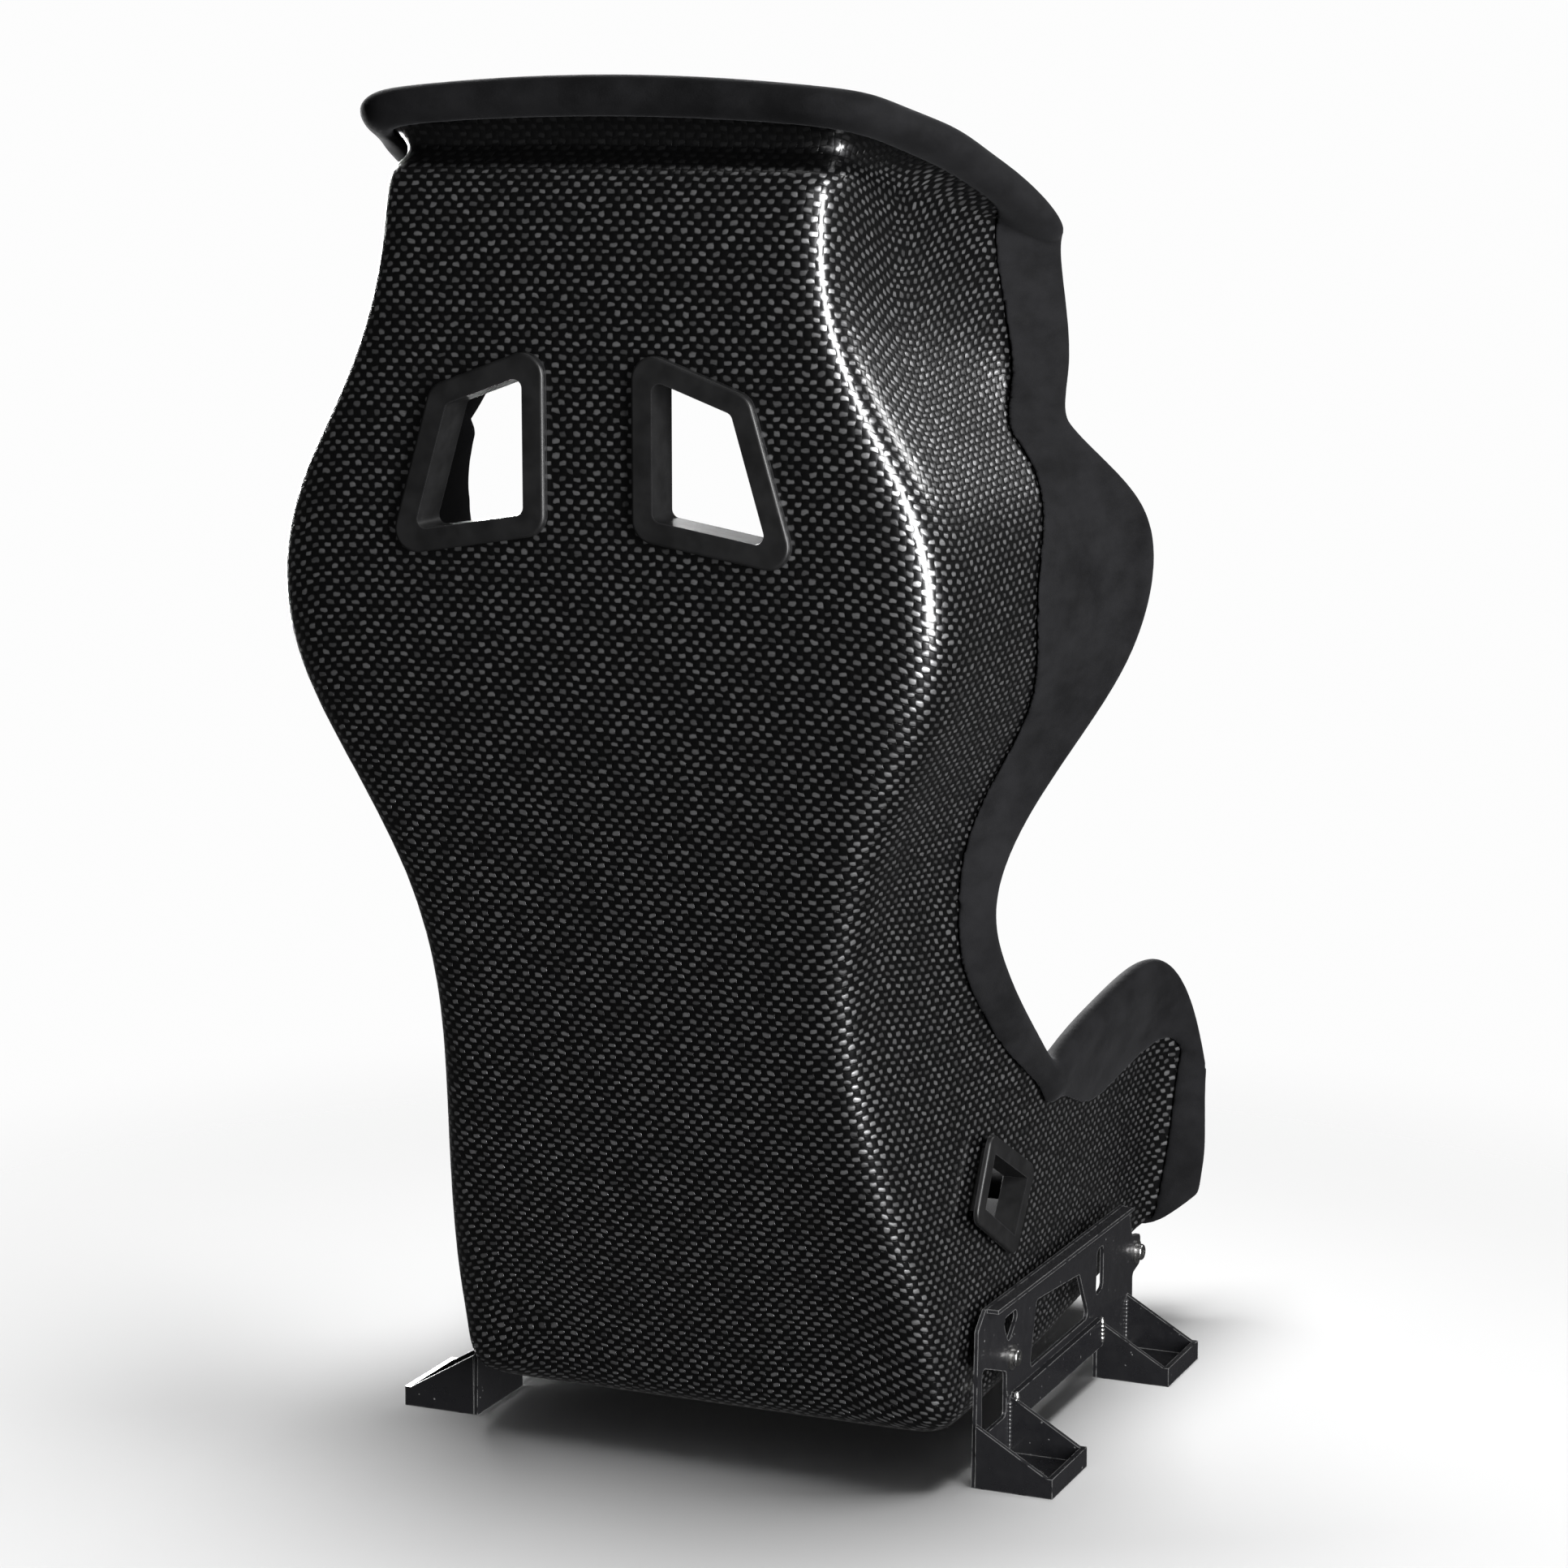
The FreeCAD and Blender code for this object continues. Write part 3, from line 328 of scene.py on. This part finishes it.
def plastic_material():
    """Moulded satin black plastic with a fine spark grain and a painted highlight along its edges."""
    s = Shader("bezel_moulded_plastic", Specular_IOR_Level=0.30)
    grain = s.noise(1700, 2)
    rub = s.noise(60, 3)
    edge = s.edges(1.6 * MM)
    # painted highlight: the colour is lighter along convex and concave edges, on top of the random rub
    # mottle
    shade = s.math("MULTIPLY_ADD", edge, 0.5, s.math("MULTIPLY", rub, 0.4))
    s.put("Base Color", s.colour(shade, (0.0025, 0.0025, 0.0025), (0.022, 0.022, 0.023)))
    s.put("Roughness", s.mix(edge, s.ramp(rub, 0.3, 0.7, 0.36, 0.46), 0.24))
    s.put("Normal", s.bump(grain, 0.06 * MM, 0.6))
    return s


def paint_material(name, chips, gloss):
    """Black enamel on plate steel: orange peel, rubbed edges and small chips."""
    s = Shader(name, Coat_Weight=0.35, Coat_Roughness=0.12)
    peel = s.noise(420, 2)
    scuff = s.noise(90, 5, 0.65)
    edge = s.math("MULTIPLY", s.edges(1.1 * MM), s.ramp(scuff, 0.36, 0.60))
    spots = s.math("MULTIPLY", s.ramp(s.cells(160), 0.16, 0.07), s.ramp(scuff, 0.55, 0.66))
    worn = s.math("MAXIMUM", edge, s.math("MULTIPLY", spots, chips))
    s.put("Base Color", s.colour(worn, (0.007, 0.007, 0.008), (0.42, 0.42, 0.42)))
    s.put("Metallic", s.math("MULTIPLY", worn, 0.9))
    s.put("Roughness", s.mix(worn, s.ramp(scuff, 0.35, 0.7, gloss, gloss + 0.14), 0.34))
    s.put("Normal", s.bump(peel, 0.10 * MM, 0.35, s.bump(worn, 0.12 * MM, 0.5)))
    return s


def steel_material(name, light, rough):
    """Bare steel: turned or brushed streaks and a light tarnish."""
    s = Shader(name, Metallic=1.0)
    streak = s.noise(900, 3, 0.6, s.place((1, 0.06, 0.06)))
    tarnish = s.noise(55, 4, 0.6)
    tone = s.math("MULTIPLY_ADD", streak, 0.35, s.math("MULTIPLY", tarnish, 0.75))
    s.put("Base Color", s.colour(tone, tinted((1, 0.98, 0.95), light * 0.5), tinted((1, 1, 1), light)))
    s.put("Roughness", s.ramp(tarnish, 0.3, 0.7, rough, rough + 0.18))
    s.put("Normal", s.bump(streak, 0.05 * MM, 0.5))
    return s


def thread_material():
    """Twisted polyester thread."""
    s = Shader("seam_thread", Specular_IOR_Level=0.35)
    twist = s.noise(2600, 1, 0.5, s.place((1, 1, 0.4)))
    s.put("Base Color", s.colour(twist, (0.020, 0.020, 0.021), (0.075, 0.075, 0.08)))
    s.put("Roughness", s.ramp(twist, 0.3, 0.7, 0.45, 0.6))
    s.put("Normal", s.bump(twist, 0.12 * MM, 0.8))
    return s


CARBON = carbon_material()
SUEDE_RIM = suede_material("suede_edge_cover", 0.24)
SUEDE_PAD = suede_material("suede_cushion_cover", 0.24)
PLASTIC = plastic_material()
PAINT_PLATE = paint_material("bracket_enamel", 0.55, 0.30)
PAINT_FOOT = paint_material("foot_enamel", 0.9, 0.26)
STEEL = steel_material("fastener_bright_steel", 0.62, 0.24)
ALLOY = steel_material("boss_cast_alloy", 0.50, 0.38)
WELD = steel_material("weld_metal", 0.62, 0.20)
BAR = paint_material("bar_enamel_rubbed", 1.0, 0.16)
THREAD = thread_material()


# ---------------------------------------------------------------- camera, light, floor

def make_camera():
    eye = Vector((-1.1597, 2.6977, 1.0069))
    turn, dip = math.radians(23.235), math.radians(10.145)
    look = Vector((math.sin(turn) * math.cos(dip), -math.cos(turn) * math.cos(dip), -math.sin(dip)))
    lens = bpy.data.cameras.new("studio_camera")
    lens.lens = 91.76
    lens.sensor_width = 36
    camera = link(bpy.data.objects.new("studio_camera", lens))
    camera.location = eye
    camera.rotation_euler = look.to_track_quat("-Z", "Y").to_euler()
    SCENE.camera = camera


def softbox(name, place, aim, width, height, power):
    """A rectangular lamp that faces the point aim."""
    lamp = bpy.data.lights.new(name, "AREA")
    lamp.shape = "RECTANGLE"
    lamp.size, lamp.size_y = width, height
    lamp.energy = power
    obj = link(bpy.data.objects.new(name, lamp))
    obj.location = place
    obj.rotation_euler = (Vector(aim) - Vector(place)).to_track_quat("-Z", "Y").to_euler()
    return obj


def make_studio():
    SCENE.view_settings.view_transform = "Standard"
    world = bpy.data.worlds.new("studio")
    SCENE.world = world
    world.use_nodes = True
    tree = world.node_tree
    tree.nodes.clear()
    rays = tree.nodes.new("ShaderNodeLightPath")
    seen = tree.nodes.new("ShaderNodeBackground")
    seen.inputs[0].default_value = (0.98, 0.98, 0.98, 1)
    room = tree.nodes.new("ShaderNodeBackground")
    room.inputs[0].default_value = (0.045, 0.045, 0.045, 1)
    pick = tree.nodes.new("ShaderNodeMixShader")
    out = tree.nodes.new("ShaderNodeOutputWorld")
    tree.links.new(rays.outputs["Is Camera Ray"], pick.inputs[0])
    tree.links.new(room.outputs[0], pick.inputs[1])
    tree.links.new(seen.outputs[0], pick.inputs[2])
    tree.links.new(pick.outputs[0], out.inputs[0])

    middle = (cad_low + cad_high) / 2
    for name, place, width, height, power in (
            ("strip_right_ridge", (-2.15, 1.45, 1.00), 0.9, 2.3, 230),
            ("strip_right_wing", (-1.80, -1.75, 2.25), 0.6, 0.9, 22),
            ("strip_left", (1.84, -1.84, 1.15), 1.7, 2.0, 320),
            ("top_soft", (0.0, 0.1, 2.7), 1.3, 1.3, 6),
            ("fill_back", (-1.3, 3.3, 2.8), 2.0, 1.0, 11)):
        softbox(name, place, middle, width, height, power)


def make_floor():
    """A pale disc that fades into the backdrop, lit by one lamp that lights nothing else."""
    reach = 2.2
    corners = [(-reach, -reach, 0), (reach, -reach, 0), (reach, reach, 0), (-reach, reach, 0)]
    floor = object_from("studio_floor", corners, [(0, 1, 2, 3)], False)
    floor.visible_glossy = False
    s = Shader("pale_floor", Roughness=0.8, Specular_IOR_Level=0.1)
    s.surface.inputs["Base Color"].default_value = (0.86, 0.86, 0.86, 1)
    distance = s.node("VectorMath", operation="LENGTH")
    s.join(s.place(), distance.inputs[0])
    s.put("Alpha", s.ramp(distance.outputs["Value"], 0.45, 1.25, 1.0, 0.0))
    dress(floor, s)
    group = bpy.data.collections.new("floor_light_group")
    group.objects.link(floor)
    others = bpy.data.collections.new("seat_light_group")
    others.objects.link(floor)
    others.collection_objects[0].light_linking.link_state = "EXCLUDE"
    for obj in SCENE.objects:
        if obj.type == "LIGHT":
            obj.light_linking.receiver_collection = others
    lamp = softbox("floor_soft", (-0.1, 0.2, 2.4), (0, 0, 0), 1.3, 1.3, 80)
    lamp.light_linking.receiver_collection = group


make_camera()
make_studio()
make_floor()


# ---------------------------------------------------------------- carbon shell

SIDE_BEARING = math.radians(62)  # past this bearing the cloth runs straight forward along the side wall
CHART_START = 0.80  # how far out from the upright axis through the origin the rays start
STEEPEST = 0.012  # most change of radius counted between two heights


def filled(values):
    """The gaps in a row of numbers bridged from their neighbours."""
    good = ~np.isnan(values)
    index = np.arange(len(values))
    return np.interp(index, index[good], values[good])


def cloth_chart(tree):
    """Lengths along the outer skin, round it and up it, on a grid of heights and bearings."""
    heights = np.arange(0.040, 1.004, 0.006)
    bearings = np.radians(np.arange(0, 171, 1.5))
    radius = np.full((len(heights), len(bearings)), np.nan)
    for i, z in enumerate(heights):
        for j, bearing in enumerate(bearings):
            ray = Vector((math.sin(bearing), math.cos(bearing), 0))
            hit = tree.ray_cast(Vector((0, 0, z)) + ray * CHART_START, -ray, CHART_START - 0.02)
            if hit[0] is not None:
                radius[i, j] = CHART_START - hit[3]
    for i in range(len(heights)):
        if (~np.isnan(radius[i])).sum() > 3:
            radius[i] = filled(radius[i])
    for j in range(len(bearings)):
        radius[:, j] = filled(radius[:, j])
    for _ in range(4):
        radius[1:-1] = (radius[:-2] + 2 * radius[1:-1] + radius[2:]) / 4
        radius[:, 1:-1] = (radius[:, :-2] + 2 * radius[:, 1:-1] + radius[:, 2:]) / 4
    x, y = radius * np.sin(bearings), radius * np.cos(bearings)
    around = np.zeros_like(radius)
    around[:, 1:] = np.cumsum(np.hypot(np.diff(x, axis=1), np.diff(y, axis=1)), axis=1)
    slope = np.clip(np.diff(radius, axis=0), -STEEPEST, STEEPEST)
    up = np.zeros_like(radius)
    up[1:] = np.cumsum(np.hypot(np.diff(heights)[:, None], slope), axis=0)
    up -= up[len(heights) // 2]
    return heights, bearings, around, up, y


def read_chart(chart, heights, bearings, z, bearing):
    i = np.clip((z - heights[0]) / (heights[1] - heights[0]), 0, len(heights) - 1.001)
    j = np.clip(bearing / (bearings[1] - bearings[0]), 0, len(bearings) - 1.001)
    i0, j0 = i.astype(int), j.astype(int)
    fi, fj = i - i0, j - j0
    low = chart[i0, j0] * (1 - fj) + chart[i0, j0 + 1] * fj
    high = chart[i0 + 1, j0] * (1 - fj) + chart[i0 + 1, j0 + 1] * fj
    return low * (1 - fi) + high * fi


def make_shell():
    mesh = NODES["seat_shell"].data.copy()
    shell = link(bpy.data.objects.new("carbon_shell", mesh))
    heights, bearings, around, up, skin_y = cloth_chart(tree_of(mesh))
    points = points_of(mesh)
    bearing = np.arctan2(np.abs(points[:, 0]), points[:, 1])
    spot = heights, bearings, points[:, 2], np.minimum(bearing, SIDE_BEARING)
    past = np.where(bearing > SIDE_BEARING, read_chart(skin_y, *spot) - points[:, 1], 0)
    u = (read_chart(around, *spot) + past) * np.sign(points[:, 0])
    v = read_chart(up, *spot)
    layer = mesh.uv_layers.new(name="weave")
    under = [p.normal.z < -0.8 and p.center.z < 0.13 for p in mesh.polygons]
    charts = np.empty((len(mesh.loops), 2))
    for polygon, flat in zip(mesh.polygons, under):
        for loop in polygon.loop_indices:
            vertex = mesh.loops[loop].vertex_index
            charts[loop] = (points[vertex, 0], points[vertex, 1]) if flat else (u[vertex], v[vertex])
    layer.data.foreach_set("uv", charts.ravel())
    settle(shell, CARBON, "carbon_laminate", "seat_shell")
    return shell


SHELL = make_shell()
SHELL_TREE = tree_of(SHELL.data)


# ---------------------------------------------------------------- soft covers

def welded_copy(name, nodes):
    """The CAD solids of these nodes as one closed mesh with shared corners."""
    bm = bmesh.new()
    for node in nodes:
        bm.from_mesh(NODES[node].data)
    bmesh.ops.remove_doubles(bm, verts=bm.verts, dist=0.02 * MM)
    mesh = bpy.data.meshes.new(name)
    bm.to_mesh(mesh)
    bm.free()
    return link(bpy.data.objects.new(name, mesh))


def pull_in(obj, depth):
    """Move every point inwards along its normal, so that the cover can swell back out."""
    normals = np.empty(len(obj.data.vertices) * 3)
    obj.data.vertices.foreach_get("normal", normals)
    obj.data.vertices.foreach_set("co", (points_of(obj.data) - normals.reshape(-1, 3) * depth).ravel())
    obj.data.update()


def remesh(obj, voxel):
    tool = obj.modifiers.new("remesh", "REMESH")
    tool.mode = "VOXEL"
    tool.voxel_size = voxel
    tool.use_smooth_shade = True
    return apply_modifiers(obj)


def shell_gap(points):
    """Distance of each point from the carbon shell."""
    return np.array([SHELL_TREE.find_nearest(Vector(p))[3] for p in points])


def swell(covers, frames=20):
    """Inflate the covers as cloth, then keep each within its cap and off the shell behind it."""
    rests = {}
    for obj, _cap in covers:
        rests[obj.name] = points_of(obj.data)
        cloth = obj.modifiers.new("swell", "CLOTH")
        cloth.settings.quality = 4
        cloth.settings.mass = 0.25
        cloth.settings.tension_stiffness = 12
        cloth.settings.compression_stiffness = 12
        cloth.settings.shear_stiffness = 6
        cloth.settings.bending_stiffness = 0.6
        cloth.settings.use_pressure = True
        cloth.settings.uniform_pressure_force = 4
        cloth.settings.effector_weights.gravity = 0
        cloth.point_cache.frame_start = 1
        cloth.point_cache.frame_end = frames
    for step in range(1, frames + 1):
        SCENE.frame_set(step)
    graph = bpy.context.evaluated_depsgraph_get()
    grown = {obj.name: points_of(obj.evaluated_get(graph).data) for obj, _cap in covers}
    SCENE.frame_set(1)
    for obj, cap in covers:
        obj.modifiers.clear()
        rest = rests[obj.name]
        travel = grown[obj.name] - rest
        length = np.linalg.norm(travel, axis=1)
        travel *= (np.minimum(length, cap) / np.maximum(length, 1e-9))[:, None]
        free = smoothstep((shell_gap(rest) - 4 * MM) / (12 * MM))
        obj.data.vertices.foreach_set("co", (rest + travel * free[:, None]).ravel())
        obj.data.update()


def subdivide(obj, levels=1):
    tool = obj.modifiers.new("finer", "SUBSURF")
    tool.levels = tool.render_levels = levels
    return apply_modifiers(obj)


def loops_of(obj):
    """Closed lines along the sharp corners of a solid, each a list of points in order."""
    bm = bmesh.new()
    bm.from_mesh(obj.data)
    sharp = [e for e in bm.edges if len(e.link_faces) == 2 and e.calc_face_angle() > math.radians(38)]
    near = {}
    for edge in sharp:
        a, b = (v.index for v in edge.verts)
        near.setdefault(a, []).append(b)
        near.setdefault(b, []).append(a)
    places = [v.co.copy() for v in bm.verts]
    bm.free()
    loops, used = [], set()
    for first in near:
        if first in used or len(near[first]) != 2:
            continue
        chain, last, here = [first], None, first
        while True:
            used.add(here)
            steps = [n for n in near[here] if n != last and (n not in used or n == first)]
            if not steps:
                break
            last, here = here, steps[0]
            if here == first:
                break
            chain.append(here)
        if here == first and len(chain) > 12:
            loops.append([places[i] for i in chain])
    return loops


def resample(points, step, closed=True):
    line = np.array(points + points[:1] if closed else points, float)
    lengths = np.concatenate([[0], np.cumsum(np.linalg.norm(np.diff(line, axis=0), axis=1))])
    count = max(8, int(round(lengths[-1] / step)))
    at = np.linspace(0, lengths[-1], count, endpoint=not closed)
    return np.stack([np.interp(at, lengths, line[:, k]) for k in range(3)], axis=1)


def even_out(line, rounds=4):
    for _ in range(rounds):
        line = (np.roll(line, 1, axis=0) + 2 * line + np.roll(line, -1, axis=0)) / 4
    return line


def seam_line(loop, solid_tree, inset, step):
    """The corner line moved onto the cover, a little in from the edge."""
    line = resample(loop, step)
    ahead = np.roll(line, -1, axis=0) - np.roll(line, 1, axis=0)
    ahead /= np.linalg.norm(ahead, axis=1)[:, None]
    out = np.array([Vector(p) - SHELL_TREE.find_nearest(Vector(p))[0] for p in line])
    out /= np.maximum(np.linalg.norm(out, axis=1), 1e-9)[:, None]
    side = np.cross(out, ahead)
    side /= np.maximum(np.linalg.norm(side, axis=1), 1e-9)[:, None]

    def misfit(sign):
        return sum(solid_tree.find_nearest(Vector(p))[3] for p in line + side * sign * inset * 1.5)

    sign = 1 if misfit(1) < misfit(-1) else -1
    return even_out(line + side * sign * inset)


def press_channel(obj, lines, width, depth):
    """Sink the cover along sewn lines."""
    points = points_of(obj.data)
    normals = np.empty(len(points) * 3)
    obj.data.vertices.foreach_get("normal", normals)
    normals = normals.reshape(-1, 3)
    every = np.concatenate(lines)
    kd = KDTree(len(every))
    for index, point in enumerate(every):
        kd.insert(Vector(point), index)
    kd.balance()
    away = np.array([kd.find(Vector(p))[2] for p in points])
    dip = depth * np.exp(-((away / width) ** 2))
    obj.data.vertices.foreach_set("co", (points - normals * dip[:, None]).ravel())
    obj.data.update()


def tube_faces(base, rings, sides):
    """Faces of a closed tube whose rings of points start at index base."""
    faces = [tuple(base + k for k in reversed(range(sides)))]
    faces.append(tuple(base + rings * sides + k for k in range(sides)))
    for low in range(base, base + rings * sides, sides):
        high = low + sides
        for k in range(sides):
            k2 = (k + 1) % sides
            faces.append((low + k, low + k2, high + k2, high + k))
    return faces


def stitches(name, cover, lines, length=3.6 * MM, thick=0.55 * MM):
    """Short thread lumps lying along the sewn lines."""
    tree = tree_of(cover.data)
    points, faces = [], []
    rings, sides = 4, 6
    for line in lines:
        ahead = np.roll(line, -1, axis=0) - line
        for start, step in zip(line, ahead):
            spot, normal, _face, _far = tree.find_nearest(Vector(start + step / 2))
            if spot is None:
                continue
            along = Vector(step).normalized()
            along = (along - normal * along.dot(normal)).normalized()
            across = normal.cross(along)
            base = len(points)
            for r in range(rings + 1):
                t = r / rings * 2 - 1
                reach = max(math.sqrt(max(0.0, 1 - abs(t) ** 3)) * thick, 0.05 * MM)
                centre = spot + along * (t * length / 2) + normal * (thick * (0.55 - 0.9 * t * t))
                for k in range(sides):
                    angle = 2 * math.pi * k / sides
                    spoke = across * math.cos(angle) + normal * math.sin(angle) * 0.8
                    points.append(centre + spoke * reach)
            faces.extend(tube_faces(base, rings, sides))
    return settle(object_from(name, points, faces), THREAD, "suede")


CUSHIONS = {
    # node: (most travel, fill)
    "head_cushion": (7 * MM, 0.75),
    "shoulder_liner": (3 * MM, 0.6),
    "back_cushion": (7 * MM, 0.7),
    "lumbar_cushion": (8 * MM, 0.7),
    "seat_cushion": (8 * MM, 0.7),
    "left_head_side_cushion": (7 * MM, 0.8),
    "right_head_side_cushion": (7 * MM, 0.8),
    "left_shoulder_side_cushion": (7 * MM, 0.75),
    "right_shoulder_side_cushion": (7 * MM, 0.75),
    "left_hip_side_cushion": (6 * MM, 0.7),
    "right_hip_side_cushion": (6 * MM, 0.7),
    "left_thigh_side_cushion": (6 * MM, 0.75),
    "right_thigh_side_cushion": (6 * MM, 0.75),
}
RIMS = ["head_rim_trim", "left_rim_trim", "right_rim_trim", "front_rim_trim"]


def make_cushions():
    covers, seams = [], {}
    for node, (cap, _fill) in CUSHIONS.items():
        solid = welded_copy(node + "_cover", [node])
        solid_tree = tree_of(solid.data)
        loops = [l for l in loops_of(solid) if shell_gap(resample(l, 10 * MM)).mean() > 5 * MM]
        seams[node] = [seam_line(l, solid_tree, 7 * MM, 5.2 * MM) for l in loops]
        thin = node == "shoulder_liner"
        pull_in(solid, 0.6 * MM if thin else 1.6 * MM)
        remesh(solid, 4 * MM if thin else 5 * MM)
        covers.append((solid, cap))
    swell(covers)
    for (cover, _cap), (node, (_same, fill)) in zip(covers, CUSHIONS.items()):
        subdivide(cover)
        lines = [l for l in seams[node] if len(l) > 12]
        if lines:
            press_channel(cover, lines, 4 * MM, 1.6 * MM)
            stitches(node + "_stitching", cover, lines)
        settle(cover, SUEDE_PAD, "suede", node)


def make_rims():
    """One continuous cover over the four edge pads, laid back onto their surface after merging."""
    cover = welded_copy("suede_edge_cover", RIMS)
    pattern = link(cover.copy())
    pattern.data = cover.data.copy()
    remesh(cover, 2.2 * MM)
    wrap = cover.modifiers.new("onto_pattern", "SHRINKWRAP")
    wrap.target = pattern
    ease = cover.modifiers.new("ease", "SMOOTH")
    ease.factor = 0.5
    ease.iterations = 3
    apply_modifiers(cover)
    bpy.data.objects.remove(pattern)
    settle(cover, SUEDE_RIM, "suede", *RIMS)


make_cushions()
make_rims()


# ---------------------------------------------------------------- hard parts kept from the CAD

def keep_nodes(names, shader, bevel=0.0):
    for name in names:
        obj = NODES[name]
        dress(obj, shader)
        if bevel:
            tool = obj.modifiers.new("edge_round", "BEVEL")
            tool.width = bevel
            tool.segments = 2
            tool.limit_method = "ANGLE"
            tool.angle_limit = math.radians(40)


def bead(points, faces, start, end, radius, pitch=3.2 * MM):
    """A run of overlapping weld ripples from start to end, as one closed tube."""
    start, end = Vector(start), Vector(end)
    along = (end - start).normalized()
    side = along.orthogonal().normalized()
    other = along.cross(side)
    length = (end - start).length
    rings, sides = max(6, int(length / (pitch / 5))), 12
    base = len(points)
    for r in range(rings + 1):
        s = r / rings * length
        ripple = 0.78 + 0.22 * math.sqrt(abs(math.sin(math.pi * s / pitch)))
        ends = math.sqrt(max(0.02, min(1.0, min(s, length - s) / (1.2 * radius))))
        for k in range(sides):
            angle = 2 * math.pi * k / sides
            reach = radius * ripple * ends
            points.append(start + along * s + (side * math.cos(angle) + other * math.sin(angle)) * reach)
    faces.extend(tube_faces(base, rings, sides))


def make_welds():
    """Beads where the bar and the feet meet each side plate, and at the feet's outer corners."""
    bright, painted = ([], []), ([], [])
    sole = 4.6 * MM  # height of the bead along the foot's floor plate
    for side, sign in (("left", 1), ("right", -1)):
        bar_low, bar_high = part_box(side + "_bracket_lower_bar")
        plate_low, plate_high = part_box(side + "_bracket_plate")
        face = plate_high[0] if sign > 0 else plate_low[0]
        bar_face = face + sign * 4.0 * MM
        for end in (bar_low[1], bar_high[1]):
            bead(*bright, (bar_face, end, bar_low[2] + MM), (bar_face, end, bar_high[2] + MM), 2.6 * MM)
        for foot in ("front", "rear"):
            low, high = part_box("%s_bracket_%s_foot" % (side, foot))
            corner = (high[0] if sign > 0 else low[0]) - sign * 6.0 * MM
            first, last = low[1] + 6 * MM, high[1] - 6 * MM
            for y in (low[1] + 4.6 * MM, high[1] - 4.6 * MM):
                bead(*painted, (face, y, 5 * MM), (face, y, 44 * MM), 2.3 * MM)
            bead(*painted, (face, first, sole), (face, last, sole), 2.3 * MM)
            for y in (low[1] + 4.4 * MM, high[1] - 4.4 * MM):
                bead(*bright, (corner, y, sole), (corner, y, 13 * MM), 1.8 * MM)
    settle(object_from("bare_weld_beads", *bright), WELD, "bracket_steel")
    settle(object_from("painted_weld_beads", *painted), PAINT_FOOT, "bracket_steel")


keep_nodes([n for n in NODES if "bezel" in n], PLASTIC)
plates = [n for n in NODES if n.endswith(("bracket_plate", "bracket_top_flange"))]
keep_nodes(plates, PAINT_PLATE, 0.5 * MM)
keep_nodes([n for n in NODES if "lower_bar" in n], BAR, 0.8 * MM)
keep_nodes([n for n in NODES if "foot" in n], PAINT_FOOT, 0.5 * MM)
keep_nodes(["seat_bolts", "seat_washers"], STEEL)
keep_nodes(["seat_threaded_bosses"], ALLOY)
make_welds()
